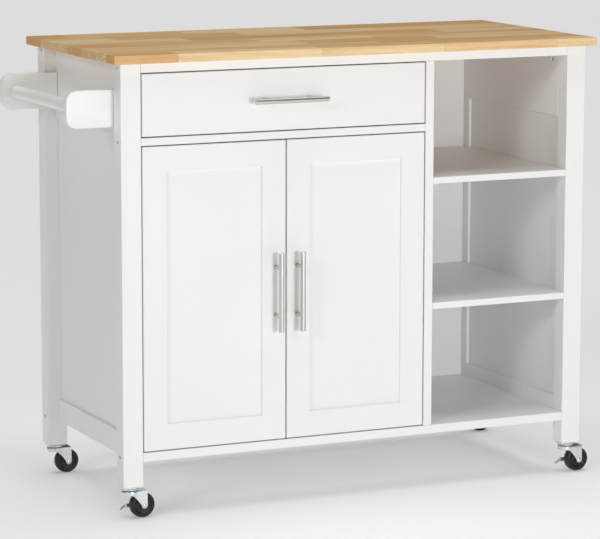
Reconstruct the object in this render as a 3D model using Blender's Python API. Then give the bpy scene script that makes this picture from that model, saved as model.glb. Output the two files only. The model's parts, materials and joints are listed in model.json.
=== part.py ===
"""Kitchen island cart: a white cabinet on casters under a butcher-block worktop.

One drawer, a pair of framed doors, an open bay with two shelves and a towel rail on the left end.
Lengths are in metres. The cart is laid out in its own plan: X runs along the front with zero midway
between the legs, Y goes into the depth with zero at the front faces of the legs, Z is up from the floor.
An empty then shifts everything so that the origin is at the bottom centre of the whole cart.
"""

import math

import bmesh
import bpy
from mathutils import Matrix, Vector

# ---- driving dimensions ---------------------------------------------------------------------------

BODY_WIDTH = 1.008            # over the outer faces of the legs
BODY_DEPTH = 0.457            # over the front and rear faces of the legs
WORKTOP_HEIGHT = 0.900        # floor to the top surface

TOP_THICKNESS = 0.017
SIDE_OVERHANG = 0.018
FRONT_OVERHANG = 0.0165
REAR_OVERHANG = 0.0205

LEG_WIDTH = 0.041
LEG_DEPTH = 0.037
FOOT_HEIGHT = 0.049           # leg below the bottom board

FRONT_RAIL_HEIGHT = 0.018
FRONT_RAIL_DEPTH = 0.045
MID_RAIL_HEIGHT = 0.0145
MID_RAIL_DEPTH = 0.040
END_RAIL_THICKNESS = 0.018
UPPER_RAIL_HEIGHT = 0.146
LOWER_RAIL_HEIGHT = 0.045
BATTEN_HEIGHT = 0.018
BATTEN_DEPTH = 0.015

BOTTOM_THICKNESS = 0.017
BACK_THICKNESS = 0.014
DIVIDER_THICKNESS = 0.018
END_PANEL_THICKNESS = 0.005
SHELF_THICKNESS = 0.013
INNER_SHELF_THICKNESS = 0.012

BAY_WIDTH = 0.302             # open shelf bay, divider to leg
MIDDLE_BAY_HEIGHT = 0.240     # between the two shelves
SHELF_LIFT = 0.002            # the shelves stand this much above the middle of the bay
INNER_SHELF_RISE = 0.285      # top of the bottom board to the underside of the inner shelf
INNER_SHELF_SETBACK = 0.006   # behind the doors
INNER_SHELF_PLAY = 0.001

REVEAL = 0.0025               # gap round the doors and the drawer front
DOOR_MEETING_GAP = 0.003
DOOR_THICKNESS = 0.018
DOOR_FRAME_WIDTH = 0.050
DOOR_PANEL_THICKNESS = 0.006
DOOR_PANEL_RECESS = 0.007
DOOR_PANEL_GROOVE = 0.006
DOOR_ARRIS = 0.0015           # slope round the inner edge of the door frame

DRAWER_FRONT_HEIGHT = 0.1195
DRAWER_FRONT_THICKNESS = 0.016
DRAWER_BOX_DEPTH = 0.390
DRAWER_SIDE_HEIGHT = 0.090
DRAWER_SIDE_THICKNESS = 0.012
DRAWER_SIDE_RISE = 0.008      # above the lower edge of the drawer front
DRAWER_BOTTOM_THICKNESS = 0.004
DRAWER_BOTTOM_RISE = 0.010    # above the lower edge of the drawer sides
DRAWER_GROOVE = 0.005

SLIDE_SPACE = 0.0127          # drawer side to cabinet side
SLIDE_LENGTH = 0.350
SLIDE_HEIGHT = 0.030
SLIDE_SHEET = 0.0012
SLIDE_PLAY = 0.0008
SLIDE_SETBACK = 0.003         # behind the drawer front

PULL_LENGTH = 0.156
PULL_RADIUS = 0.0055
PULL_POST_RADIUS = 0.004
PULL_POST_SPACING = 0.096
PULL_STANDOFF = 0.028         # face to the bar's centre line
PULL_FROM_MEETING_EDGE = 0.0215

HINGE_END_DISTANCE = 0.090    # door end to the hinge
HINGE_CUP_DEPTH = 0.0115
HINGE_EDGE_WALL = 0.005       # door edge to the cup's hole
HINGE_STILE_WALL = 0.004      # cup's hole to the panel's groove
HINGE_CUP_WALL = 0.001
HINGE_FLANGE_LAP = 0.0025     # flange past the rim of the hole
HINGE_FLANGE_THICKNESS = 0.0012
HINGE_ARM_GAP = 0.0008        # flange to arm
HINGE_ARM_THICKNESS = 0.003
HINGE_ARM_HALF_HEIGHT = 0.006
HINGE_PLATE_DEPTH = 0.016
HINGE_PLATE_THICKNESS = 0.0017
HINGE_PLATE_HALF_HEIGHT = 0.016
HINGE_TIP_WIDTH = 0.007
HINGE_TIP_DEPTH = 0.0105      # how far the tip reaches into the cup's mouth, from the arm's front

WHEEL_RADIUS = 0.025
WHEEL_WIDTH = 0.018
WHEEL_SHOULDER = 0.004
WHEEL_HUB_RADIUS = 0.013
WHEEL_HUB_RECESS = 0.0025
WHEEL_BORE_RADIUS = 0.0034
AXLE_RADIUS = 0.003
CASTER_TRAIL = 0.024
WHEEL_TOP_GAP = 0.0035
WHEEL_SIDE_GAP = 0.0015
FORK_SHEET = 0.002
FORK_SKIRT = 0.008
FORK_CROWN_RADIUS = 0.017
FORK_CHEEK_RADIUS = 0.006
FORK_CHEEK_WIDTH = 0.016      # where a cheek leaves the crown
RACE_GAP = 0.001
RACE_HEIGHT = 0.005
RACE_RADIUS = 0.0165
CASTER_PLATE_THICKNESS = 0.0025
CASTER_PLATE_WIDTH = 0.038
CASTER_PLATE_DEPTH = 0.034
PEDAL_SHEET = 0.002
PEDAL_REACH = 0.036           # wheel centre to the pedal's tip
PEDAL_DROP = 0.007
PEDAL_TAB_WIDTH = 0.009
PEDAL_TAB_LENGTH = 0.009
PEDAL_ARM_RADIUS = 0.0065

TOWEL_REACH = 0.0955          # leg's outer face to the bracket's outer end
TOWEL_BRACKET_HEIGHT = 0.072
TOWEL_BRACKET_THICKNESS = 0.016
TOWEL_BRACKET_DROP = 0.051    # worktop's underside to the bracket's top
TOWEL_BRACKET_CORNER = 0.022
TOWEL_BAR_RADIUS = 0.0125
TOWEL_BAR_INSET = 0.0315      # bracket's outer end to the bar's centre line
TOWEL_SOCKET_DEPTH = 0.008

BOLT_BORE_RADIUS = 0.0035
BOLT_BORE_DEPTH = 0.004
DOWEL_BORE_RADIUS = 0.005
DOWEL_BORE_DEPTH = 0.010
DOWEL_BORE_FROM_LEG = 0.0255
DOWEL_BORE_DROP = 0.031       # worktop's underside to the cross-dowel bore

PANEL_GROOVE = 0.008
EDGE_BREAK = 0.0008           # small chamfer on painted boards
LEG_ROUND = 0.0012
TOP_ROUND = 0.0015
GAP = 0.0003                  # between pieces that touch
OVERSHOOT = 0.001             # how far a cutter stands out of what it cuts

# ---- places worked out from them ------------------------------------------------------------------

LEFT = -BODY_WIDTH / 2
RIGHT = BODY_WIDTH / 2
INNER_LEFT = LEFT + LEG_WIDTH
INNER_RIGHT = RIGHT - LEG_WIDTH
REAR_LEG_FRONT = BODY_DEPTH - LEG_DEPTH
BACK_FRONT = BODY_DEPTH - BACK_THICKNESS
BATTEN_FRONT = BACK_FRONT - BATTEN_DEPTH

CROWN_UNDERSIDE = 2 * WHEEL_RADIUS + WHEEL_TOP_GAP
CROWN_TOP = CROWN_UNDERSIDE + FORK_SHEET
RACE_BOTTOM = CROWN_TOP + RACE_GAP
CASTER_HEIGHT = RACE_BOTTOM + RACE_HEIGHT + CASTER_PLATE_THICKNESS
CHEEK_INNER = WHEEL_WIDTH / 2 + WHEEL_SIDE_GAP
CHEEK_OUTER = CHEEK_INNER + FORK_SHEET

LEG_BOTTOM = CASTER_HEIGHT
UNDER_TOP = WORKTOP_HEIGHT - TOP_THICKNESS
BOTTOM_UNDERSIDE = LEG_BOTTOM + FOOT_HEIGHT
FLOOR_BOARD_TOP = BOTTOM_UNDERSIDE + BOTTOM_THICKNESS
FRONT_RAIL_UNDERSIDE = UNDER_TOP - FRONT_RAIL_HEIGHT
DRAWER_FRONT_TOP = FRONT_RAIL_UNDERSIDE - REVEAL
DRAWER_FRONT_BOTTOM = DRAWER_FRONT_TOP - DRAWER_FRONT_HEIGHT
MID_RAIL_TOP = DRAWER_FRONT_BOTTOM - REVEAL
MID_RAIL_UNDERSIDE = MID_RAIL_TOP - MID_RAIL_HEIGHT
DOOR_TOP = MID_RAIL_UNDERSIDE - REVEAL
DOOR_BOTTOM = FLOOR_BOARD_TOP + REVEAL
DOOR_MIDDLE = (DOOR_TOP + DOOR_BOTTOM) / 2

DIVIDER_RIGHT = INNER_RIGHT - BAY_WIDTH
DIVIDER_LEFT = DIVIDER_RIGHT - DIVIDER_THICKNESS
FRONT_CENTRE = (INNER_LEFT + DIVIDER_LEFT) / 2
FRONT_LEFT = INNER_LEFT + REVEAL
FRONT_RIGHT = DIVIDER_LEFT - REVEAL

HINGE_CUP_RADIUS = (DOOR_FRAME_WIDTH - DOOR_PANEL_GROOVE - HINGE_EDGE_WALL - HINGE_STILE_WALL) / 2
HINGE_CUP_INSET = HINGE_EDGE_WALL + HINGE_CUP_RADIUS
HINGE_FLANGE_RADIUS = HINGE_CUP_RADIUS + HINGE_FLANGE_LAP

UPPER_RAIL_UNDERSIDE = UNDER_TOP - UPPER_RAIL_HEIGHT
LOWER_RAIL_TOP = BOTTOM_UNDERSIDE + LOWER_RAIL_HEIGHT
END_PANEL_INSET = (END_RAIL_THICKNESS - END_PANEL_THICKNESS) / 2
END_PANEL_BOTTOM = LOWER_RAIL_TOP - PANEL_GROOVE + GAP
END_PANEL_TOP = UPPER_RAIL_UNDERSIDE + PANEL_GROOVE - GAP

BAY_MIDDLE = (FLOOR_BOARD_TOP + FRONT_RAIL_UNDERSIDE) / 2 + SHELF_LIFT
LOWER_SHELF_BOTTOM = BAY_MIDDLE - MIDDLE_BAY_HEIGHT / 2 - SHELF_THICKNESS
UPPER_SHELF_BOTTOM = BAY_MIDDLE + MIDDLE_BAY_HEIGHT / 2

BRACKET_TOP = UNDER_TOP - TOWEL_BRACKET_DROP
BRACKET_BOTTOM = BRACKET_TOP - TOWEL_BRACKET_HEIGHT
BRACKET_END = LEFT - TOWEL_REACH
TOWEL_BAR_X = BRACKET_END + TOWEL_BAR_INSET
TOWEL_BAR_Z = (BRACKET_TOP + BRACKET_BOTTOM) / 2

LEG_CENTRES = {
    "front_left": (LEFT + LEG_WIDTH / 2, LEG_DEPTH / 2),
    "front_right": (RIGHT - LEG_WIDTH / 2, LEG_DEPTH / 2),
    "rear_left": (LEFT + LEG_WIDTH / 2, BODY_DEPTH - LEG_DEPTH / 2),
    "rear_right": (RIGHT - LEG_WIDTH / 2, BODY_DEPTH - LEG_DEPTH / 2),
}

# the whole cart's extent, for the origin at its bottom centre
CASTER_RIGHT = LEG_CENTRES["front_right"][0] + CASTER_TRAIL + WHEEL_RADIUS
EXTENT_RIGHT = max(RIGHT + SIDE_OVERHANG, CASTER_RIGHT)
EXTENT_FRONT = min(-FRONT_OVERHANG, -PULL_STANDOFF - PULL_RADIUS)
CENTRE_X = (BRACKET_END + EXTENT_RIGHT) / 2
CENTRE_Y = (EXTENT_FRONT + BODY_DEPTH + REAR_OVERHANG) / 2

# ---- materials ------------------------------------------------------------------------------------


def make_material(name, colour, roughness, metallic=0.0):
    """A Principled material of one colour."""
    material = bpy.data.materials.new(name)
    material.use_nodes = True
    shader = material.node_tree.nodes["Principled BSDF"]
    shader.inputs["Base Color"].default_value = (*colour, 1.0)
    shader.inputs["Roughness"].default_value = roughness
    shader.inputs["Metallic"].default_value = metallic
    material.diffuse_color = (*colour, 1.0)
    return material


# ---- building tools -------------------------------------------------------------------------------


def start_empty_scene():
    """Remove every object, and make the empty that carries the cart."""
    for obj in list(bpy.data.objects):
        bpy.data.objects.remove(obj, do_unlink=True)
    origin = bpy.data.objects.new("cart_origin", None)
    origin.location = (-CENTRE_X, -CENTRE_Y, 0.0)
    bpy.context.scene.collection.objects.link(origin)
    return origin


def add_object(name, bm, parent, at=(0.0, 0.0, 0.0), material=None):
    """Turn a bmesh into an object; its vertices are relative to the point it stands at."""
    bmesh.ops.recalc_face_normals(bm, faces=bm.faces)
    mesh = bpy.data.meshes.new(name)
    bm.to_mesh(mesh)
    bm.free()
    obj = bpy.data.objects.new(name, mesh)
    bpy.context.scene.collection.objects.link(obj)
    obj.parent = parent
    obj.location = at
    if material:
        mesh.materials.append(material)
    return obj


def box_mesh(low, high):
    """A box between two corners."""
    bm = bmesh.new()
    low, high = Vector(low), Vector(high)
    bmesh.ops.create_cube(bm, size=1.0)
    bmesh.ops.scale(bm, vec=high - low, verts=bm.verts)
    bmesh.ops.translate(bm, vec=(low + high) / 2, verts=bm.verts)
    return bm


def prism_mesh(outline, axis, start, end):
    """A flat outline carried along an axis; the outline lists the other two coordinates in XYZ order."""
    bm = bmesh.new()
    others = [i for i in range(3) if i != axis]
    corners = []
    for point in outline:
        place = [0.0, 0.0, 0.0]
        place[axis] = start
        place[others[0]], place[others[1]] = point
        corners.append(bm.verts.new(place))
    face = bm.faces.new(corners)
    grown = bmesh.ops.extrude_face_region(bm, geom=[face])
    shift = Vector((0.0, 0.0, 0.0))
    shift[axis] = end - start
    bmesh.ops.translate(bm, vec=shift, verts=[v for v in grown["geom"] if isinstance(v, bmesh.types.BMVert)])
    return bm


def arc(centre, radius, start, end, steps):
    """Points of an arc, with its angles in degrees."""
    angles = [math.radians(start + (end - start) * i / steps) for i in range(steps + 1)]
    return [(centre[0] + radius * math.cos(a), centre[1] + radius * math.sin(a)) for a in angles]


def turned_mesh(profile, axis, centre, segments):
    """A closed profile of (radius, height) points spun round an axis through a point."""
    bm = bmesh.new()
    verts = [bm.verts.new((radius, 0.0, height)) for radius, height in profile]
    edges = [bm.edges.new((verts[i], verts[(i + 1) % len(verts)])) for i in range(len(verts))]
    bmesh.ops.spin(bm, geom=verts + edges, cent=(0, 0, 0), axis=(0, 0, 1), angle=2 * math.pi,
                   steps=segments, use_merge=True)
    bmesh.ops.remove_doubles(bm, verts=bm.verts, dist=1e-6)
    bmesh.ops.dissolve_degenerate(bm, edges=bm.edges, dist=1e-6)
    turn = Vector((0, 0, 1)).rotation_difference(Vector([float(i == axis) for i in range(3)]))
    bmesh.ops.transform(bm, matrix=Matrix.Translation(centre) @ turn.to_matrix().to_4x4(), verts=bm.verts)
    return bm


def rod_mesh(radius, axis, centre, start, end, segments, round_off=0.0):
    """A round rod along an axis, with its ends chamfered if asked."""
    profile = [(0.0, start), (radius - round_off, start), (radius, start + round_off),
               (radius, end - round_off), (radius - round_off, end), (0.0, end)]
    if not round_off:
        profile = [(0.0, start), (radius, start), (radius, end), (0.0, end)]
    return turned_mesh(profile, axis, centre, segments)


def break_edges(obj, width, segments=1):
    """Round or chamfer the object's sharp edges."""
    bevel = obj.modifiers.new("edge_break", "BEVEL")
    bevel.width = width
    bevel.segments = segments
    bevel.limit_method = "ANGLE"
    bevel.angle_limit = math.radians(40)


def combine(obj, bm, operation, label):
    """Cut a bmesh out of an object, or join it on, with an exact Boolean."""
    tool = add_object(f"{obj.name}_{label}", bm, obj.parent, obj.location)
    tool.hide_render = True
    tool.display_type = "WIRE"
    boolean = obj.modifiers.new(label, "BOOLEAN")
    boolean.operation = operation
    boolean.solver = "EXACT"
    boolean.object = tool


def cut(obj, bm, label):
    combine(obj, bm, "DIFFERENCE", label)


def join(obj, bm, label):
    combine(obj, bm, "UNION", label)


def smooth(obj, degrees=35):
    """Shade the round faces smooth and keep the edges crisp."""
    obj.data.shade_smooth()
    obj.data.set_sharp_from_angle(angle=math.radians(degrees))


def board(name, low, high, parent, material, width=EDGE_BREAK, segments=1):
    """A board with broken edges, standing at its own centre."""
    centre = (Vector(low) + Vector(high)) / 2
    obj = add_object(name, box_mesh(Vector(low) - centre, Vector(high) - centre), parent, centre, material)
    break_edges(obj, width, segments)
    return obj


def around(obj, low, high):
    """A box mesh given in the cart's plan, for cutting an object that stands at its centre."""
    return box_mesh(Vector(low) - obj.location, Vector(high) - obj.location)


# ---- frame ----------------------------------------------------------------------------------------


def end_span(side, inner, outer):
    """X range of a layer in an end frame, measured outwards from the legs' inner faces."""
    if side == "left":
        return INNER_LEFT - outer, INNER_LEFT - inner
    return INNER_RIGHT + inner, INNER_RIGHT + outer


def panel_groove_span(side):
    """X range of the groove that holds an end panel."""
    return end_span(side, END_PANEL_INSET - GAP, END_PANEL_INSET + END_PANEL_THICKNESS + GAP)


def make_worktop(root, wood):
    board("countertop",
          (LEFT - SIDE_OVERHANG, -FRONT_OVERHANG, UNDER_TOP + GAP),
          (RIGHT + SIDE_OVERHANG, BODY_DEPTH + REAR_OVERHANG, WORKTOP_HEIGHT),
          root, wood, TOP_ROUND, 2)


def make_legs(root, paint):
    """Four legs, grooved for the end panels and bored for the assembly bolts."""
    board_middle = BOTTOM_UNDERSIDE + BOTTOM_THICKNESS / 2
    rail_middle = UNDER_TOP - FRONT_RAIL_HEIGHT / 2
    for place, (x, y) in LEG_CENTRES.items():
        row, side = place.split("_")
        low = (x - LEG_WIDTH / 2, y - LEG_DEPTH / 2, LEG_BOTTOM)
        high = (x + LEG_WIDTH / 2, y + LEG_DEPTH / 2, UNDER_TOP)
        leg = board(f"leg_{place}", low, high, root, paint, LEG_ROUND, 2)

        groove_left, groove_right = panel_groove_span(side)
        if row == "front":
            groove_front, groove_rear = LEG_DEPTH - PANEL_GROOVE, LEG_DEPTH + OVERSHOOT
        else:
            groove_front, groove_rear = REAR_LEG_FRONT - OVERSHOOT, REAR_LEG_FRONT + PANEL_GROOVE
        cut(leg, around(leg, (groove_left, groove_front, END_PANEL_BOTTOM - GAP),
                        (groove_right, groove_rear, END_PANEL_TOP + GAP)), "panel_groove")

        outward = -1 if side == "left" else 1
        face = x + outward * LEG_WIDTH / 2
        batten_middle = BATTEN_FRONT + BATTEN_DEPTH / 2
        bores = {"bottom": (y, board_middle), "top": (batten_middle if row == "rear" else y, rail_middle)}
        if place == "front_left":
            bores["middle"] = (y, MID_RAIL_UNDERSIDE + MID_RAIL_HEIGHT / 2)
        for label, (bore_y, bore_z) in bores.items():
            ends = sorted((face + outward * OVERSHOOT, face - outward * BOLT_BORE_DEPTH))
            middle = Vector((0, bore_y - leg.location.y, bore_z - leg.location.z))
            cut(leg, rod_mesh(BOLT_BORE_RADIUS, 0, middle, ends[0] - x, ends[1] - x, 12), f"{label}_bore")


def make_end_frames(root, paint):
    """Upper and lower rails between the legs of each end, with a thin panel held in their grooves."""
    front, rear = LEG_DEPTH + GAP, REAR_LEG_FRONT - GAP
    for side in ("left", "right"):
        x0, x1 = end_span(side, 0.0, END_RAIL_THICKNESS)
        upper = board(f"{side}_upper_rail", (x0, front, UPPER_RAIL_UNDERSIDE), (x1, rear, UNDER_TOP), root, paint)
        lower = board(f"{side}_lower_rail", (x0, front, BOTTOM_UNDERSIDE), (x1, rear, LOWER_RAIL_TOP), root, paint)

        g0, g1 = panel_groove_span(side)
        cut(upper, around(upper, (g0, front - OVERSHOOT, UPPER_RAIL_UNDERSIDE - OVERSHOOT),
                          (g1, rear + OVERSHOOT, UPPER_RAIL_UNDERSIDE + PANEL_GROOVE)), "panel_groove")
        cut(lower, around(lower, (g0, front - OVERSHOOT, LOWER_RAIL_TOP - PANEL_GROOVE),
                          (g1, rear + OVERSHOOT, LOWER_RAIL_TOP + OVERSHOOT)), "panel_groove")

        inner_face, inward = (x1, 1) if side == "left" else (x0, -1)
        ends = sorted((inner_face + inward * OVERSHOOT, inner_face - inward * DOWEL_BORE_DEPTH))
        z = UNDER_TOP - DOWEL_BORE_DROP
        for label, y in (("front", LEG_DEPTH + DOWEL_BORE_FROM_LEG), ("rear", REAR_LEG_FRONT - DOWEL_BORE_FROM_LEG)):
            middle = Vector((-upper.location.x, y - upper.location.y, z - upper.location.z))
            cut(upper, rod_mesh(DOWEL_BORE_RADIUS, 0, middle, ends[0], ends[1], 14), f"{label}_dowel_bore")

        p0, p1 = end_span(side, END_PANEL_INSET, END_PANEL_INSET + END_PANEL_THICKNESS)
        board(f"{side}_end_panel", (p0, LEG_DEPTH - PANEL_GROOVE + GAP, END_PANEL_BOTTOM),
              (p1, REAR_LEG_FRONT + PANEL_GROOVE - GAP, END_PANEL_TOP), root, paint, EDGE_BREAK / 2)


def outlined_board(name, outline, axis, start, end, root, paint):
    """A board cut to an outline in the cart's plan, with broken edges."""
    obj = add_object(name, prism_mesh(outline, axis, start, end), root, (0, 0, 0), paint)
    break_edges(obj, EDGE_BREAK)
    return obj


def make_carcass(root, paint):
    """Rails, bottom board, divider and back board."""
    left, right = INNER_LEFT + GAP, INNER_RIGHT - GAP
    board("front_top_rail", (left, 0, FRONT_RAIL_UNDERSIDE), (right, FRONT_RAIL_DEPTH, UNDER_TOP), root, paint)
    board("mid_rail", (left, 0, MID_RAIL_UNDERSIDE), (DIVIDER_LEFT - GAP, MID_RAIL_DEPTH, MID_RAIL_TOP), root, paint)
    board("bottom_board", (left, 0, BOTTOM_UNDERSIDE), (right, BACK_FRONT - GAP, FLOOR_BOARD_TOP), root, paint)

    notch_front = BATTEN_FRONT - GAP
    notch_rear = BACK_FRONT - GAP
    bottom = FLOOR_BOARD_TOP + GAP
    divider = [
        (0, bottom), (notch_rear, bottom), (notch_rear, UNDER_TOP - BATTEN_HEIGHT - GAP),
        (notch_front, UNDER_TOP - BATTEN_HEIGHT - GAP), (notch_front, UNDER_TOP),
        (FRONT_RAIL_DEPTH + GAP, UNDER_TOP), (FRONT_RAIL_DEPTH + GAP, FRONT_RAIL_UNDERSIDE - GAP),
        (0, FRONT_RAIL_UNDERSIDE - GAP),
    ]
    outlined_board("divider_panel", divider, 0, DIVIDER_LEFT, DIVIDER_RIGHT, root, paint)

    back = [
        (BACK_FRONT, BOTTOM_UNDERSIDE), (BODY_DEPTH, BOTTOM_UNDERSIDE), (BODY_DEPTH, UNDER_TOP),
        (BATTEN_FRONT, UNDER_TOP), (BATTEN_FRONT, UNDER_TOP - BATTEN_HEIGHT),
        (BACK_FRONT, UNDER_TOP - BATTEN_HEIGHT),
    ]
    outlined_board("back_board", back, 0, left, right, root, paint)


def make_shelves(root, paint):
    """Two fixed shelves in the open bay, cut round the legs, and one loose shelf behind the doors."""
    left = DIVIDER_RIGHT + GAP
    at_leg = INNER_RIGHT - GAP
    at_panel = INNER_RIGHT + END_PANEL_INSET - GAP
    front_leg, rear_leg, back = LEG_DEPTH + GAP, REAR_LEG_FRONT - GAP, BACK_FRONT - GAP
    outline = [
        (left, 0), (at_leg, 0), (at_leg, front_leg), (at_panel, front_leg),
        (at_panel, rear_leg), (at_leg, rear_leg), (at_leg, back), (left, back),
    ]
    for name, bottom in (("shelf_lower", LOWER_SHELF_BOTTOM), ("shelf_upper", UPPER_SHELF_BOTTOM)):
        outlined_board(name, outline, 2, bottom, bottom + SHELF_THICKNESS, root, paint)

    underside = FLOOR_BOARD_TOP + INNER_SHELF_RISE
    board("inner_shelf",
          (INNER_LEFT + INNER_SHELF_PLAY, DOOR_THICKNESS + INNER_SHELF_SETBACK, underside),
          (DIVIDER_LEFT - INNER_SHELF_PLAY, BACK_FRONT - INNER_SHELF_PLAY, underside + INNER_SHELF_THICKNESS),
          root, paint)


# ---- pulls ----------------------------------------------------------------------------------------


def make_pull(name, x, z, along, root, steel):
    """A round bar on two posts; along is the axis that the bar lies on."""
    bar = add_object(name, rod_mesh(PULL_RADIUS, along, (0, 0, 0), -PULL_LENGTH / 2, PULL_LENGTH / 2, 16, 0.001),
                     root, (x, -PULL_STANDOFF, z), steel)
    for label, offset in (("first_post", -PULL_POST_SPACING / 2), ("second_post", PULL_POST_SPACING / 2)):
        foot = [0.0, 0.0, 0.0]
        foot[along] = offset
        join(bar, rod_mesh(PULL_POST_RADIUS, 1, foot, 0.0, PULL_STANDOFF - GAP, 12), label)
    smooth(bar)


# ---- drawer ---------------------------------------------------------------------------------------


def make_drawer(root, paint, inside, steel):
    """Drawer front, two sides, back and a bottom that slides in grooves."""
    side_front = DRAWER_FRONT_THICKNESS + GAP
    side_rear = DRAWER_FRONT_THICKNESS + DRAWER_BOX_DEPTH
    side_bottom = DRAWER_FRONT_BOTTOM + DRAWER_SIDE_RISE
    side_top = side_bottom + DRAWER_SIDE_HEIGHT
    panel_bottom = side_bottom + DRAWER_BOTTOM_RISE
    panel_top = panel_bottom + DRAWER_BOTTOM_THICKNESS
    outer_left, outer_right = INNER_LEFT + SLIDE_SPACE, DIVIDER_LEFT - SLIDE_SPACE
    inner_left, inner_right = outer_left + DRAWER_SIDE_THICKNESS, outer_right - DRAWER_SIDE_THICKNESS
    groove_left, groove_right = inner_left - DRAWER_GROOVE, inner_right + DRAWER_GROOVE
    groove_front = DRAWER_FRONT_THICKNESS - DRAWER_GROOVE

    front = board("drawer_front", (FRONT_LEFT, 0, DRAWER_FRONT_BOTTOM),
                  (FRONT_RIGHT, DRAWER_FRONT_THICKNESS, DRAWER_FRONT_TOP), root, paint, LEG_ROUND)
    left = board("drawer_side_left", (outer_left, side_front, side_bottom), (inner_left, side_rear, side_top),
                 root, inside)
    right = board("drawer_side_right", (inner_right, side_front, side_bottom), (outer_right, side_rear, side_top),
                  root, inside)
    for piece in (front, left, right):
        cut(piece, around(piece, (groove_left, groove_front, panel_bottom - GAP),
                          (groove_right, side_rear + OVERSHOOT, panel_top + GAP)), "bottom_groove")

    board("drawer_back", (inner_left + GAP, side_rear - DRAWER_SIDE_THICKNESS, panel_top + GAP),
          (inner_right - GAP, side_rear, side_top), root, inside)
    board("drawer_bottom", (groove_left + GAP, groove_front + GAP, panel_bottom),
          (groove_right - GAP, side_rear, panel_top), root, inside, EDGE_BREAK / 2)
    make_pull("drawer_pull", FRONT_CENTRE, (DRAWER_FRONT_TOP + DRAWER_FRONT_BOTTOM) / 2, 0, root, steel)


def make_slides(root, steel):
    """On each side a channel on the cabinet and a narrower channel on the drawer that runs inside it."""
    front = DRAWER_FRONT_THICKNESS + SLIDE_SETBACK
    rear = front + SLIDE_LENGTH
    middle = DRAWER_FRONT_BOTTOM + DRAWER_SIDE_RISE + DRAWER_SIDE_HEIGHT / 2
    outer_half = SLIDE_HEIGHT / 2
    inner_half = outer_half - SLIDE_SHEET - SLIDE_PLAY
    drawer_web = SLIDE_SPACE - GAP - SLIDE_SHEET
    flange_tip = drawer_web - SLIDE_PLAY
    drawer_tip = GAP + SLIDE_SHEET + SLIDE_PLAY

    def channel(web_back, web_front, tip, half):
        """Section of a channel: a web with a flange above and below, as (distance from cabinet side, height)."""
        inside = half - SLIDE_SHEET
        return [(web_back, -half), (tip, -half), (tip, -inside), (web_front, -inside),
                (web_front, inside), (tip, inside), (tip, half), (web_back, half)]

    for side, face, inward in (("left", INNER_LEFT, 1), ("right", DIVIDER_LEFT, -1)):
        cabinet = channel(GAP, GAP + SLIDE_SHEET, flange_tip, outer_half)
        drawer = channel(SLIDE_SPACE - GAP, drawer_web, drawer_tip, inner_half)
        for name, section in ((f"cabinet_slide_{side}", cabinet), (f"drawer_slide_{side}", drawer)):
            outline = [(face + inward * reach, middle + height) for reach, height in section]
            add_object(name, prism_mesh(outline, 1, front, rear), root, (0, 0, 0), steel)


# ---- doors ----------------------------------------------------------------------------------------


def frame_opening_mesh(x0, x1, z0, z1):
    """Cutter for the door frame's opening: straight, with a sloped arris at the front."""
    bm = bmesh.new()
    loops = []
    for y, grow in ((-OVERSHOOT, DOOR_ARRIS + OVERSHOOT), (DOOR_ARRIS, 0.0), (DOOR_THICKNESS + OVERSHOOT, 0.0)):
        left, right, bottom, top = x0 - grow, x1 + grow, z0 - grow, z1 + grow
        corners = [(left, y, bottom), (right, y, bottom), (right, y, top), (left, y, top)]
        loops.append([bm.verts.new(corner) for corner in corners])
    bm.faces.new(loops[0])
    bm.faces.new(loops[-1])
    for near, far in zip(loops, loops[1:]):
        for i in range(4):
            bm.faces.new((near[i], near[(i + 1) % 4], far[(i + 1) % 4], far[i]))
    return bm


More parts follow.
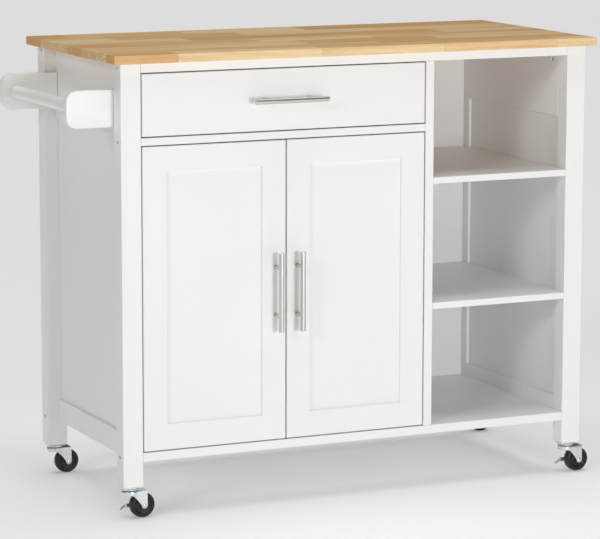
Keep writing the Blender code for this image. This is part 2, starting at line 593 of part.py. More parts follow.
def make_door(side, root, paint, steel):
    """A frame with a panel in its groove, two hinge cups and a pull. It stands at its hinge axis."""
    half_gap = DOOR_MEETING_GAP / 2
    if side == "left":
        x0, x1 = FRONT_LEFT, FRONT_CENTRE - half_gap
        axis_x, inward, pull_x = x0, 1, x1 - PULL_FROM_MEETING_EDGE
    else:
        x0, x1 = FRONT_CENTRE + half_gap, FRONT_RIGHT
        axis_x, inward, pull_x = x1, -1, x0 + PULL_FROM_MEETING_EDGE
    hinge_line = Vector((axis_x, 0, 0))
    body = box_mesh(Vector((x0, 0, DOOR_BOTTOM)) - hinge_line, Vector((x1, DOOR_THICKNESS, DOOR_TOP)) - hinge_line)
    frame = add_object(f"{side}_door_frame", body, root, hinge_line, paint)
    break_edges(frame, LEG_ROUND)

    o0, o1 = x0 + DOOR_FRAME_WIDTH - axis_x, x1 - DOOR_FRAME_WIDTH - axis_x
    oz0, oz1 = DOOR_BOTTOM + DOOR_FRAME_WIDTH, DOOR_TOP - DOOR_FRAME_WIDTH
    cut(frame, frame_opening_mesh(o0, o1, oz0, oz1), "opening")
    groove_low = (o0 - DOOR_PANEL_GROOVE, DOOR_PANEL_RECESS - GAP, oz0 - DOOR_PANEL_GROOVE)
    groove_high = (o1 + DOOR_PANEL_GROOVE, DOOR_PANEL_RECESS + DOOR_PANEL_THICKNESS + GAP, oz1 + DOOR_PANEL_GROOVE)
    cut(frame, box_mesh(groove_low, groove_high), "panel_groove")

    tight = Vector((GAP, GAP, GAP))
    panel_low, panel_high = Vector(groove_low) + tight, Vector(groove_high) - tight
    centre = (panel_low + panel_high) / 2
    panel = add_object(f"{side}_door_panel", box_mesh(panel_low - centre, panel_high - centre), root,
                       hinge_line + centre, paint)
    break_edges(panel, EDGE_BREAK / 2)

    for level, z in (("lower", DOOR_BOTTOM + HINGE_END_DISTANCE), ("upper", DOOR_TOP - HINGE_END_DISTANCE)):
        cup_x = inward * HINGE_CUP_INSET
        hole = rod_mesh(HINGE_CUP_RADIUS, 1, (cup_x, 0, z), DOOR_THICKNESS - HINGE_CUP_DEPTH,
                        DOOR_THICKNESS + OVERSHOOT, 20)
        cut(frame, hole, f"{level}_cup_hole")
        make_hinge(f"{side}_{level}", axis_x, inward, z, root, steel)
    make_pull(f"{side}_door_pull", pull_x, DOOR_MIDDLE, 2, root, steel)


def make_hinge(place, axis_x, inward, z, root, steel):
    """A cup let into the door's rear face, and a cranked arm on the cabinet whose tip reaches into it."""
    outer = HINGE_CUP_RADIUS - GAP
    floor = DOOR_THICKNESS - HINGE_CUP_DEPTH + GAP
    rim = DOOR_THICKNESS + GAP + HINGE_FLANGE_THICKNESS
    inner = outer - HINGE_CUP_WALL
    profile = [(0.0, floor), (outer, floor), (outer, DOOR_THICKNESS + GAP),
               (HINGE_FLANGE_RADIUS, DOOR_THICKNESS + GAP), (HINGE_FLANGE_RADIUS, rim), (inner, rim),
               (inner, floor + HINGE_CUP_WALL), (0.0, floor + HINGE_CUP_WALL)]
    cup_x = inward * HINGE_CUP_INSET
    cup = add_object(f"hinge_cup_{place}", turned_mesh(profile, 1, (cup_x, 0, z), 20), root, (axis_x, 0, 0), steel)
    smooth(cup)

    near = rim + HINGE_ARM_GAP
    far = near + HINGE_ARM_THICKNESS
    face = -REVEAL + GAP
    tip_end = HINGE_CUP_INSET + HINGE_TIP_WIDTH / 2
    tip_start = tip_end - HINGE_TIP_WIDTH
    crank = [(face, near), (tip_start, near), (tip_start, near - HINGE_TIP_DEPTH), (tip_end, near - HINGE_TIP_DEPTH),
             (tip_end, far), (face, far)]
    outline = [(inward * x, y) for x, y in crank]
    arm = add_object(f"hinge_arm_{place}",
                     prism_mesh(outline, 2, z - HINGE_ARM_HALF_HEIGHT, z + HINGE_ARM_HALF_HEIGHT),
                     root, (axis_x, 0, 0), steel)
    xs = sorted((inward * face, inward * (face + HINGE_PLATE_THICKNESS)))
    plate = box_mesh((xs[0], near, z - HINGE_PLATE_HALF_HEIGHT),
                     (xs[1], near + HINGE_PLATE_DEPTH, z + HINGE_PLATE_HALF_HEIGHT))
    join(arm, plate, "plate")


# ---- towel rail -----------------------------------------------------------------------------------


def make_towel_rail(root, paint):
    """Two brackets screwed to the left upper rail, with a round bar let into their facing sides."""
    inner_end = INNER_LEFT - END_RAIL_THICKNESS - GAP
    corner = TOWEL_BRACKET_CORNER
    outline = [(inner_end, BRACKET_BOTTOM), (inner_end, BRACKET_TOP)]
    outline += arc((BRACKET_END + corner, BRACKET_TOP - corner), corner, 90, 180, 7)
    outline += arc((BRACKET_END + corner, BRACKET_BOTTOM + corner), corner, 180, 270, 7)
    thickness = TOWEL_BRACKET_THICKNESS
    front_start = LEG_DEPTH + GAP
    rear_start = REAR_LEG_FRONT - GAP - thickness
    bar_start = front_start + thickness - TOWEL_SOCKET_DEPTH
    bar_end = rear_start + TOWEL_SOCKET_DEPTH
    for place, start, socket in (
        ("front", front_start, (bar_start, front_start + thickness + OVERSHOOT)),
        ("rear", rear_start, (rear_start - OVERSHOOT, bar_end)),
    ):
        bracket = outlined_board(f"towel_bracket_{place}", outline, 1, start, start + thickness, root, paint)
        cut(bracket, rod_mesh(TOWEL_BAR_RADIUS + GAP, 1, (TOWEL_BAR_X, 0, TOWEL_BAR_Z), *socket, 24), "bar_socket")
        smooth(bracket, 30)
    bar = add_object("towel_bar", rod_mesh(TOWEL_BAR_RADIUS, 1, (0, 0, 0), bar_start + GAP, bar_end - GAP, 24),
                     root, (TOWEL_BAR_X, 0, TOWEL_BAR_Z), paint)
    smooth(bar)


# ---- casters --------------------------------------------------------------------------------------


def tangent_foot(centre, radius, point, side):
    """Where the line from a point touches a circle, on one side of it."""
    dx, dz = point[0] - centre[0], point[1] - centre[1]
    angle = math.atan2(dz, dx) + side * math.acos(radius / math.hypot(dx, dz))
    return centre[0] + radius * math.cos(angle), centre[1] + radius * math.sin(angle), math.degrees(angle)


def cheek_outline():
    """Side view of a fork cheek: wide at the crown, narrowing to a round end at the axle."""
    axle = (CASTER_TRAIL, WHEEL_RADIUS)
    crown_end = CASTER_TRAIL + FORK_CHEEK_RADIUS
    top = CROWN_TOP - FORK_SHEET / 2
    start = crown_end - FORK_CHEEK_WIDTH
    foot_x, foot_z, foot_angle = tangent_foot(axle, FORK_CHEEK_RADIUS, (start, top - FORK_SKIRT), -1)
    lower_end = arc(axle, FORK_CHEEK_RADIUS, foot_angle % 360, 360, 8)
    return [(start - FORK_SKIRT, top), (start - FORK_SKIRT, top - FORK_SKIRT), (start, top - FORK_SKIRT),
            (foot_x, foot_z)] + lower_end[1:] + [(crown_end, top)]


def crown_outline(inset, end):
    """Plan of the fork's crown: round at one end, straight-sided past the wheel."""
    half = CHEEK_OUTER - inset
    bend = math.sqrt((FORK_CROWN_RADIUS - inset) ** 2 - half ** 2)
    turn = math.degrees(math.atan2(half, bend))
    return arc((0, 0), FORK_CROWN_RADIUS - inset, turn, 360 - turn, 14) + [(end, -half), (end, half)]


def make_caster(place, root, steel, rubber):
    """Top plate with its race, swivel fork with the axle riveted in, and the wheel. Each stands on its axis."""
    x, y = LEG_CENTRES[place]
    plate_bottom = RACE_BOTTOM + RACE_HEIGHT
    half_w, half_d = CASTER_PLATE_WIDTH / 2, CASTER_PLATE_DEPTH / 2
    race = turned_mesh([(0, RACE_BOTTOM), (RACE_RADIUS, RACE_BOTTOM), (RACE_RADIUS, RACE_BOTTOM + RACE_HEIGHT / 2),
                        (RACE_RADIUS * 0.8, plate_bottom + GAP), (0, plate_bottom + GAP)], 2, (0, 0, 0), 20)
    plate = add_object(f"caster_plate_{place}",
                       box_mesh((-half_w, -half_d, plate_bottom), (half_w, half_d, LEG_BOTTOM - GAP)),
                       root, (x, y, 0), steel)
    join(plate, race, "race")
    smooth(plate)

    crown_end = CASTER_TRAIL + FORK_CHEEK_RADIUS
    skirt_end = CROWN_TOP - FORK_SKIRT
    crown = prism_mesh(crown_outline(0.0, crown_end), 2, skirt_end, CROWN_TOP)
    hollow = prism_mesh(crown_outline(FORK_SHEET, crown_end + OVERSHOOT), 2, skirt_end - OVERSHOOT, CROWN_UNDERSIDE)
    fork = add_object(f"caster_fork_{place}", crown, root, (x, y, 0), steel)
    cut(fork, hollow, "hollow")
    for label, start in (("near_cheek", -CHEEK_OUTER), ("far_cheek", CHEEK_INNER)):
        join(fork, prism_mesh(cheek_outline(), 1, start, start + FORK_SHEET), label)
    rivet = CHEEK_OUTER + FORK_SHEET / 2
    join(fork, rod_mesh(AXLE_RADIUS, 1, (CASTER_TRAIL, 0, WHEEL_RADIUS), -rivet, rivet, 12), "axle")
    smooth(fork)

    half = WHEEL_WIDTH / 2
    hub = half - WHEEL_HUB_RECESS
    profile = [(WHEEL_BORE_RADIUS, -half), (WHEEL_BORE_RADIUS * 2, -half), (WHEEL_HUB_RADIUS * 0.75, -hub),
               (WHEEL_HUB_RADIUS, -hub), (WHEEL_HUB_RADIUS + WHEEL_HUB_RECESS, -half),
               (WHEEL_RADIUS - WHEEL_SHOULDER, -half), (WHEEL_RADIUS - WHEEL_SHOULDER / 4, -half + WHEEL_SHOULDER / 2),
               (WHEEL_RADIUS, -half + WHEEL_SHOULDER)]
    profile += [(radius, -height) for radius, height in reversed(profile)]
    wheel = add_object(f"caster_wheel_{place}", turned_mesh(profile, 1, (0, 0, 0), 28), root,
                       (x + CASTER_TRAIL, y, WHEEL_RADIUS), rubber)
    smooth(wheel)


def make_brake_pedal(place, root, steel):
    """A lever outside the fork's inner cheek: it turns on the axle's end and has a tab to press with a foot."""
    x, y = LEG_CENTRES[place]
    inner = CHEEK_OUTER + FORK_SHEET / 2 + GAP
    outer = inner + PEDAL_SHEET
    tip = (-PEDAL_REACH, -PEDAL_DROP)
    half = PEDAL_ARM_RADIUS * 0.7
    reach = math.hypot(*tip)
    along = (tip[0] / reach, tip[1] / reach)
    lever = arc((0, 0), PEDAL_ARM_RADIUS, 80, 280, 8) + [(reach, -half), (reach, half)]
    outline = [(u * along[0] - w * along[1], u * along[1] + w * along[0]) for u, w in lever]
    pedal = add_object(f"brake_pedal_{place}", prism_mesh(outline, 1, inner, outer), root,
                       (x + CASTER_TRAIL, y, WHEEL_RADIUS), steel)
    tab = box_mesh((-PEDAL_REACH, inner, tip[1] - PEDAL_SHEET / 2),
                   (-PEDAL_REACH + PEDAL_TAB_LENGTH, inner + PEDAL_TAB_WIDTH, tip[1] + PEDAL_SHEET / 2))
    join(pedal, tab, "tab")


# ---- the cart -------------------------------------------------------------------------------------


def build_cart():
    root = start_empty_scene()
    paint = make_material("white_paint", (0.86, 0.86, 0.85), 0.38)
    inside = make_material("white_foil", (0.84, 0.84, 0.83), 0.5)
    wood = make_material("rubberwood", (0.72, 0.46, 0.20), 0.42)
    steel = make_material("brushed_steel", (0.62, 0.60, 0.58), 0.32, 1.0)
    zinc = make_material("zinc_plate", (0.66, 0.68, 0.68), 0.35, 1.0)
    rubber = make_material("black_rubber", (0.02, 0.02, 0.022), 0.45)

    make_worktop(root, wood)
    make_legs(root, paint)
    make_end_frames(root, paint)
    make_carcass(root, paint)
    make_shelves(root, paint)
    make_drawer(root, paint, inside, steel)
    make_slides(root, zinc)
    for side in ("left", "right"):
        make_door(side, root, paint, steel)
    make_towel_rail(root, paint)
    for place in LEG_CENTRES:
        make_caster(place, root, zinc, rubber)
    for place in ("front_left", "front_right"):
        make_brake_pedal(place, root, zinc)


build_cart()
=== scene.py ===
"""Finished surfaces of a rolling kitchen island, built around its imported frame.

The white carcass keeps its frame pieces and gets a painted finish. The worktop, towel rail, pulls, drawer
runners, hinges, casters and fasteners are surfaces worked out here. Lengths are in metres: X runs along the
front from the towel rail to the open bay, Y goes into the depth, and Z is up from the floor.
"""

import json
import math
from functools import partial

import bmesh
import bpy
import numpy as np
from bpy.props import FloatProperty, FloatVectorProperty, PointerProperty
from mathutils import Matrix, Vector


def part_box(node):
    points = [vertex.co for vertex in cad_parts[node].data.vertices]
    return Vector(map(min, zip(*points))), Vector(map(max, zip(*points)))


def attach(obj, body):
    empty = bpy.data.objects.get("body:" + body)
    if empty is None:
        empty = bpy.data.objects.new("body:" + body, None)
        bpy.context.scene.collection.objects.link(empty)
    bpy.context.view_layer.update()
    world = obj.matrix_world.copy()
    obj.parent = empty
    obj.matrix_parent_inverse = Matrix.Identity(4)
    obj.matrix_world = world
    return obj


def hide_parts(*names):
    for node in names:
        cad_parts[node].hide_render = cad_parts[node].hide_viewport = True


bl_info = {
    "name": "Kitchen island cart",
    "version": (1, 0, 0),
    "blender": (4, 5, 0),
    "location": "View3D > Sidebar > Kitchen island",
    "description": "Finishes a rolling kitchen island around its frame",
    "category": "Add Mesh",
}

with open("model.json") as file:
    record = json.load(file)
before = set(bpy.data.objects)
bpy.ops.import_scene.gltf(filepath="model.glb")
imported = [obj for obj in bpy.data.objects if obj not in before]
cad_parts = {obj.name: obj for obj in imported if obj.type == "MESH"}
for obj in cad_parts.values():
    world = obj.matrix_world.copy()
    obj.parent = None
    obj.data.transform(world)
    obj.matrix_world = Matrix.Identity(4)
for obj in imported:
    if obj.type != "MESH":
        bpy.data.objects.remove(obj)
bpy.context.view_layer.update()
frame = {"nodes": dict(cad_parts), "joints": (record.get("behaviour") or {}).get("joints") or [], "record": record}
SPAN = {node: np.array(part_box(node)) for node in frame["nodes"]}
PLACES = ("front_left", "front_right", "rear_left", "rear_right")
SIDES = ("left", "right")
LEVELS = ("lower", "upper")
SHARP = 1e-5                  # radius of an arc that stands for a corner
MERGE = 1e-6                  # points closer than this are one
CREASE = math.radians(38)     # edges that turn more than this stay sharp


# ---- settings -------------------------------------------------------------------------------------


def length(name, description, default, low=0.0001, high=1.0):
    """A size that can be changed in the panel."""
    return FloatProperty(name=name, description=description, default=default, min=low, max=high,
                         subtype="DISTANCE", unit="LENGTH", precision=4)


def colour(name, description, default):
    """A colour that can be changed in the panel."""
    return FloatVectorProperty(name=name, description=description, default=default, min=0.0, max=1.0,
                               size=3, subtype="COLOR")


def strength(name, description, default):
    """A light's strength that can be changed in the panel."""
    return FloatProperty(name=name, description=description, default=default, min=0.0, max=5.0)


class IslandWood(bpy.types.PropertyGroup):
    """The edge-glued worktop."""

    pale: colour("Pale wood", "Colour of the lightest staves", (0.94, 0.71, 0.38))
    deep: colour("Deep wood", "Colour of the darkest staves", (0.71, 0.375, 0.13))
    stave_length: length("Stave length", "Average length of a stave between its end joints", 0.28, 0.05)
    ring_spacing: length("Ring spacing", "Distance between growth rings", 0.0095, 0.001, 0.02)
    edge: length("Edge round", "Radius of the worktop's edges", 0.0016, 0.0002, 0.006)
    corner: length("Corner round", "Radius of the worktop's corners seen from above", 0.003, 0.0005, 0.05)


class IslandFinishes(bpy.types.PropertyGroup):
    """Paint, foil, metals and rubber."""

    paint: colour("Paint", "Semi-gloss paint on the woodwork", (0.875, 0.868, 0.852))
    foil: colour("Foil", "White foil on the drawer box", (0.82, 0.82, 0.81))
    steel: colour("Pull steel", "Brushed steel of the three pulls", (0.60, 0.585, 0.555))
    zinc: colour("Zinc plate", "Bright zinc on hinges, runners and casters", (0.70, 0.735, 0.74))
    dark_steel: colour("Bolt steel", "Dark steel of the assembly bolts", (0.20, 0.195, 0.19))
    rubber: colour("Wheel", "Black plastic of the caster wheels", (0.006, 0.006, 0.007))


class IslandHardware(bpy.types.PropertyGroup):
    """Sizes of the small parts that the frame's boxes don't give."""

    bracket_corner: length("Bracket corner", "Radius of the towel brackets' corners", 0.022, 0.001, 0.036)
    bracket_edge: length("Bracket edge", "Radius of the towel brackets' edges", 0.0024, 0.0002, 0.006)
    pull_bar: length("Pull bar", "Radius of a pull's bar", 0.0055, 0.002, 0.02)
    pull_post: length("Pull post", "Radius of a pull's post", 0.004, 0.001, 0.01)
    post_spacing: length("Post spacing", "Distance between a pull's posts", 0.096, 0.02)
    sheet: length("Fork sheet", "Thickness of the casters' pressed steel", 0.002, 0.0005, 0.005)
    runner_sheet: length("Runner sheet", "Thickness of the drawer runners' steel", 0.0012, 0.0005, 0.003)
    ball: length("Runner ball", "Radius of the balls in the drawer runners", 0.0015, 0.0005, 0.003)


class IslandStage(bpy.types.PropertyGroup):
    """Floor and light."""

    floor: colour("Floor", "Plain pale floor", (0.80, 0.80, 0.80))
    floor_glow: strength("Floor glow", "Light that the white floor gives off", 0.18)
    sky: strength("Soft light", "Strength of the light from all round", 0.05)
    front: strength("Front light", "Strength of the low light in front", 0.345)
    left: strength("Left light", "Strength of the light from the left", 0.165)
    top: strength("Top light", "Strength of the light from above", 0.56)
    gamma: strength("Gamma", "Brightening of the middle tones in the finished picture", 1.15)


# ---- surfaces -------------------------------------------------------------------------------------


def lay(across, up, along, axis):
    """XYZ points from two cross coordinates and a distance along an axis, all broadcast together."""
    order = {0: (along, across, up), 1: (across, along, up), 2: (across, up, along)}[axis]
    return np.stack(np.broadcast_arrays(*order), -1)


def grid_faces(rows, columns, closed):
    """Corners of the quads between rows and columns; closed joins the last column to the first."""
    spans = columns if closed else columns - 1
    row, column = np.meshgrid(np.arange(rows - 1), np.arange(spans), indexing="ij")
    following = (column + 1) % columns
    near, far = row * columns, (row + 1) * columns
    return np.stack((near + column, near + following, far + following, far + column), -1).reshape(-1, 4)


def turned(profile, axis, centre, segments=48, outline=None, phase=0.0):
    """A turned surface: each ring is (r cos a, r sin a) at height h. A ring's third number, from 0 to 1,
    takes it from the circle to the shape that outline(a) gives as a multiple of the radius."""
    rings = np.array([(*ring, 0.0)[:3] for ring in profile])
    angle = np.arange(segments) * 2 * math.pi / segments
    radius = rings[:, :1] * np.ones(segments)
    if outline is not None:
        radius = radius * (1 + rings[:, 2:3] * (outline(angle) - 1))
    angle = angle + phase
    points = lay(radius * np.cos(angle), radius * np.sin(angle), rings[:, 1:2], axis) + np.array(centre)
    return points.reshape(-1, 3), [grid_faces(len(rings), segments, True)]


def polygon_normals(corners):
    """Inward unit normals of a counter-clockwise polygon's sides, listed by each side's first corner."""
    side = np.roll(corners, -1, 0) - corners
    side = side / np.linalg.norm(side, axis=1, keepdims=True)
    return np.stack((-side[:, 1], side[:, 0]), -1)


def turn_between(first, second):
    """Cross product of plane vectors, x1 y2 - y1 x2: positive where the second turns left of the first."""
    return first[:, 0] * second[:, 1] - first[:, 1] * second[:, 0]


def rounded(corners, radii, steps=6, side_steps=1):
    """A polygon with rounded corners. An arc's centre lies on the corner's bisector at radius / sin(half the
    angle). Its points turn evenly from one side to the other, and each side is split into equal parts."""
    back, ahead = np.roll(corners, 1, 0) - corners, np.roll(corners, -1, 0) - corners
    back = back / np.linalg.norm(back, axis=1, keepdims=True)
    ahead = ahead / np.linalg.norm(ahead, axis=1, keepdims=True)
    half = np.arccos(np.clip((back * ahead).sum(1), -1, 1)) / 2
    middle = back + ahead
    middle = middle / np.linalg.norm(middle, axis=1, keepdims=True)
    centre = corners + middle * (radii / np.sin(half))[:, None]
    start = corners + back * (radii / np.tan(half))[:, None]
    end = corners + ahead * (radii / np.tan(half))[:, None]
    turn = (math.pi - 2 * half)[:, None, None]
    share = np.linspace(0, 1, steps + 1)[None, :, None]
    arcs = centre[:, None] + (np.sin((1 - share) * turn) * (start - centre)[:, None]
                              + np.sin(share * turn) * (end - centre)[:, None]) / np.sin(turn)
    along = np.linspace(0, 1, side_steps + 1)[1:-1][None, :, None]
    sides = end[:, None] * (1 - along) + np.roll(start, -1, 0)[:, None] * along
    return np.concatenate((arcs, sides), 1).reshape(-1, 2)


def slab(corners, radii, axis, start, end, edge, steps=6, side_steps=1, bore=None):
    """A plate with a rounded outline and a quarter-round rim at both faces: at angle a the rim is moved in
    by edge (1 - sin a) and is edge (1 - cos a) from the face. A bore is (centre, radius, depth) in the end
    face: its rings lie at the outline points' own angles round the centre."""
    corners = np.array(corners, float)
    radii = np.broadcast_to(np.array(radii, float), len(corners))
    if turn_between(corners, np.roll(corners, -1, 0)).sum() < 0:
        corners, radii = corners[::-1], radii[::-1]
    normal = polygon_normals(corners)
    before = np.roll(normal, 1, 0)
    mitre = (before + normal) / (1 + (before * normal).sum(1, keepdims=True))
    convex = np.sign(turn_between(before, normal))
    bend = np.linspace(0, math.pi / 2, 5)
    way = np.sign(end - start)
    moved_in, rise = edge * (1 - np.sin(bend)), way * edge * (1 - np.cos(bend))
    depth = np.concatenate((start + rise, end - rise[::-1]))
    outlines = [(corners + mitre * inset, np.maximum(radii - convex * inset, SHARP))
                for inset in (*moved_in, *moved_in[::-1])]
    rings = np.array([rounded(*outline, steps, side_steps) for outline in outlines])
    if bore is not None:
        middle, radius, deep = np.array(bore[0]), bore[1], bore[2]
        turn = np.arctan2(*(rings[-1] - middle).T[::-1])
        circle = np.stack((np.cos(turn), np.sin(turn)), -1)
        lip = 0.0004
        bored = np.array([middle + circle * r for r in (radius + lip, radius, radius, 0.0)])
        rings = np.concatenate((rings, bored))
        depth = np.concatenate((depth, (end, end - way * lip, end - way * deep, end - way * deep)))
    points = lay(rings[..., 0], rings[..., 1], depth[:, None], axis)
    count = rings.shape[1]
    faces = [grid_faces(len(rings), count, True), np.arange(count)[None]]
    if bore is None:
        faces.append(np.arange(count)[None] + (len(rings) - 1) * count)
    return points.reshape(-1, 3), faces


def repeated(surface, offsets):
    """Copies of a surface, each moved by one offset."""
    points, faces = surface
    offsets = np.array(offsets, float).reshape(-1, 1, 3)
    moved = (points[None] + offsets).reshape(-1, 3)
    shift = np.arange(len(offsets))[:, None, None] * len(points)
    return moved, [(block[None] + shift).reshape(-1, block.shape[1]) for block in faces]


def box_corners(low, high, axis):
    """Corners of a box's outline seen along an axis."""
    first, second = [i for i in range(3) if i != axis]
    (a, b), (c, d) = (low[first], low[second]), (high[first], high[second])
    return [(a, b), (c, b), (c, d), (a, d)]


def make_piece(name, surfaces, finish, body, stands_for=(), sheet=0.0):
    """One object from closed surfaces. A surface that is open is a sheet, and gets its thickness inwards."""
    slot, material = finish_of(finish)
    faces, points, count = [], [], 0
    for surface_points, blocks in surfaces:
        for block in blocks:
            faces += (block + count).tolist()
        points.append(surface_points)
        count += len(surface_points)
    mesh = bpy.data.meshes.new(name)
    mesh.from_pydata(np.concatenate(points).tolist(), [], faces)
    tool = bmesh.new()
    tool.from_mesh(mesh)
    bmesh.ops.remove_doubles(tool, verts=tool.verts, dist=MERGE)
    bmesh.ops.dissolve_degenerate(tool, edges=tool.edges, dist=MERGE)
    bmesh.ops.recalc_face_normals(tool, faces=tool.faces)
    tool.to_mesh(mesh)
    tool.free()
    mesh.shade_smooth()
    mesh.set_sharp_from_angle(angle=CREASE)
    mesh.materials.append(material)
    piece = bpy.data.objects.new(name, mesh)
    bpy.context.scene.collection.objects.link(piece)
    if sheet:
        thick = piece.modifiers.new("sheet_thickness", "SOLIDIFY")
        thick.thickness, thick.offset, thick.use_even_offset = sheet, -1.0, True
    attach(piece, body)
    if stands_for:
        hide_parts(*stands_for)
    return piece


def rod_profile(radius, start, end, chamfer):
    """Profile of a rod from axis to axis, with a small chamfer at both ends."""
    return [(0, start), (radius - chamfer, start), (radius, start + chamfer),
            (radius, end - chamfer), (radius - chamfer, end), (0, end)]


def cross_recess(angle):
    """Polar outline of a cross: the farther edge of its two arms at each angle, as a share of an arm."""
    cosine, sine = np.maximum(abs(np.cos(angle)), MERGE), np.maximum(abs(np.sin(angle)), MERGE)
    width = 0.32
    return np.maximum(np.minimum(1 / cosine, width / sine), np.minimum(1 / sine, width / cosine))


def hexagon(angle):
    """Polar outline of a hexagon as a share of its corner distance: cos 30 / cos of the angle off a flat."""
    return math.cos(math.pi / 6) / np.cos((angle % (math.pi / 3)) - math.pi / 6)


def facing(rings, way):
    """A profile whose heights run along the axis, or against it where way is -1."""
    return [(radius, way * height, *shape) for radius, height, *shape in rings]


def screw_head(radius, height, axis, seat, way, phase=0.0):
    """A pan head with a cross recess. The dome is height (0.45 + 0.55 sqrt(1 - (0.99 r / radius)^2))."""
    share = np.array((1.0, 0.98, 0.9, 0.75, 0.62))
    dome = height * (0.45 + 0.55 * np.sqrt(1 - (share * 0.99) ** 2))
    rings = [(0, 0), (radius, 0), (radius, height * 0.4)]
    rings += [(radius * s, h) for s, h in zip(share[1:], dome[1:])]
    rings += [(radius * 0.56, dome[-1], 1), (radius * 0.5, height * 0.3, 1), (0, height * 0.2)]
    return turned(facing(rings, way), axis, seat, 24, cross_recess, phase)


def bolt_head(radius, height, axis, seat, way):
    """A flat round head with a hexagon socket."""
    chamfer, mouth, socket = 0.0004, radius * 0.62, radius * 0.58
    rings = [(0, 0), (radius, 0), (radius, height - chamfer), (radius - chamfer, height), (mouth, height, 1),
             (socket, height - chamfer, 1), (socket, height * 0.25, 1), (0, height * 0.2)]
    return turned(facing(rings, way), axis, seat, 36, hexagon)


# ---- shader maths ---------------------------------------------------------------------------------


def node_operator(operation, reflected=False):
    """A method that adds a Math node for a value and another operand."""
    def method(self, other=0.0):
        operands = (other, self) if reflected else (self, other)
        return self.graph.math(operation, *operands)
    return method


class Value:
    """A number that changes over a surface. Each operator adds its Math node."""

    def __init__(self, graph, socket):
        self.graph, self.socket = graph, socket

    __add__, __radd__ = node_operator("ADD"), node_operator("ADD", True)
    __sub__, __rsub__ = node_operator("SUBTRACT"), node_operator("SUBTRACT", True)
    __mul__, __rmul__ = node_operator("MULTIPLY"), node_operator("MULTIPLY", True)
    __truediv__, __rtruediv__ = node_operator("DIVIDE"), node_operator("DIVIDE", True)
    __pow__, __rpow__ = node_operator("POWER"), node_operator("POWER", True)
    __gt__, __lt__ = node_operator("GREATER_THAN"), node_operator("LESS_THAN")
    __abs__ = node_operator("ABSOLUTE")


class Graph:
    """A material and its nodes."""

    def __init__(self, name):
        self.material = bpy.data.materials.new(name)
        self.material.use_nodes = True
        self.tree = self.material.node_tree
        self.shader = self.tree.nodes["Principled BSDF"]

    def add(self, kind, settings, inputs):
        """Add a node: its settings first, then the numbers or links of its sockets. Returns its outputs."""
        node = self.tree.nodes.new("ShaderNode" + kind)
        for key, setting in settings.items():
            setattr(node, key, setting)
        for key, given in inputs.items():
            self.feed(next(s for s in node.inputs if key in (s.identifier, s.name)), given)
        return [Value(self, socket) for socket in node.outputs]

    def feed(self, socket, given):
        """Link a value, or set a constant on the socket itself."""
        if isinstance(given, Value):
            self.tree.links.new(given.socket, socket)
        else:
            socket.default_value = given

    def math(self, operation, first, second=0.0):
        return self.add("Math", {"operation": operation}, {"Value": first, "Value_001": second})[0]

    def position(self):
        """Object coordinates: the place in metres, since each piece sits at the origin."""
        return self.add("TexCoord", {}, {})[3]

    def split(self, vector):
        return self.add("SeparateXYZ", {}, {"Vector": vector})

    def join(self, x, y, z):
        return self.add("CombineXYZ", {}, {"X": x, "Y": y, "Z": z})[0]

    def stretched(self, vector, scale):
        """The vector with each coordinate multiplied by its own scale."""
        return self.add("VectorMath", {"operation": "MULTIPLY"}, {"Vector": vector, "Vector_001": scale})[0]

    def noise(self, vector, scale, detail=2.0, roughness=0.5):
        return self.add("TexNoise", {}, {"Vector": vector, "Scale": scale, "Detail": detail,
                                         "Roughness": roughness})[0]

    def clear(self, value, low, high):
        """0 below low, 1 above high and smooth between them."""
        return self.add("MapRange", {"interpolation_type": "SMOOTHSTEP"},
                        {"Value": value, "From Min": low, "From Max": high})[0]

    def mix(self, share, first, second):
        """Two colours mixed by a share."""
        return self.add("Mix", {"data_type": "RGBA"},
                        {"Factor_Float": share, "A_Color": first, "B_Color": second})[2]

    def bump(self, height, distance, strength=1.0):
        return self.add("Bump", {}, {"Height": height, "Distance": distance, "Strength": strength})[0]

    def finish(self, **sockets):
        """Set or link the shader's sockets; underscores stand for spaces."""
        for key, given in sockets.items():
            self.feed(self.shader.inputs[key.replace("_", " ")], given)


def shade(colour_value, brightness=1.0):
    """A colour setting as the four numbers that a colour socket takes."""
    return (*[min(1.0, channel * brightness) for channel in colour_value], 1.0)


# ---- finishes -------------------------------------------------------------------------------------


def paint_finish(graph, tints):
    """Sprayed semi-gloss paint: fine orange peel, faint clouding of colour and sheen."""
    place = graph.position()
    cloud = graph.noise(place, 7.0, 3.0)
    peel = graph.noise(place, 900.0, 1.0)
    fine = graph.noise(place, 2600.0, 1.0)
    graph.finish(
        Base_Color=graph.mix(cloud, shade(tints.paint, 0.985), shade(tints.paint, 1.012)),
        Roughness=0.33 + 0.09 * cloud + 0.03 * fine,
        Specular_IOR_Level=0.42,
        Normal=graph.bump(peel + 0.3 * fine, 0.00006, 0.5),
    )


def foil_finish(graph, tints):
    """White foil on board: an even matt surface with a faint pressed grain along Y."""
    grain = graph.noise(graph.stretched(graph.position(), (900.0, 40.0, 900.0)), 1.0, 3.0)
    graph.finish(
        Base_Color=graph.mix(grain, shade(tints.foil, 0.97), shade(tints.foil, 1.01)),
        Roughness=0.44 + 0.12 * grain,
        Normal=graph.bump(grain, 0.00005, 0.5),
    )


def steel_finish(graph, tints, axis):
    """Brushed steel: fine lines along one axis change the sheen, the colour and the height."""
    scale = [1500.0] * 3
    scale[axis] = 25.0
    lines = graph.noise(graph.stretched(graph.position(), tuple(scale)), 1.0, 4.0, 0.6)
    wide = graph.noise(graph.position(), 60.0, 2.0)
    graph.finish(
        Base_Color=graph.mix(lines, shade(tints.steel, 0.86), shade(tints.steel, 1.1)),
        Metallic=1.0,
        Roughness=0.20 + 0.16 * lines + 0.05 * wide,
        Normal=graph.bump(lines, 0.00003, 0.6),
    )


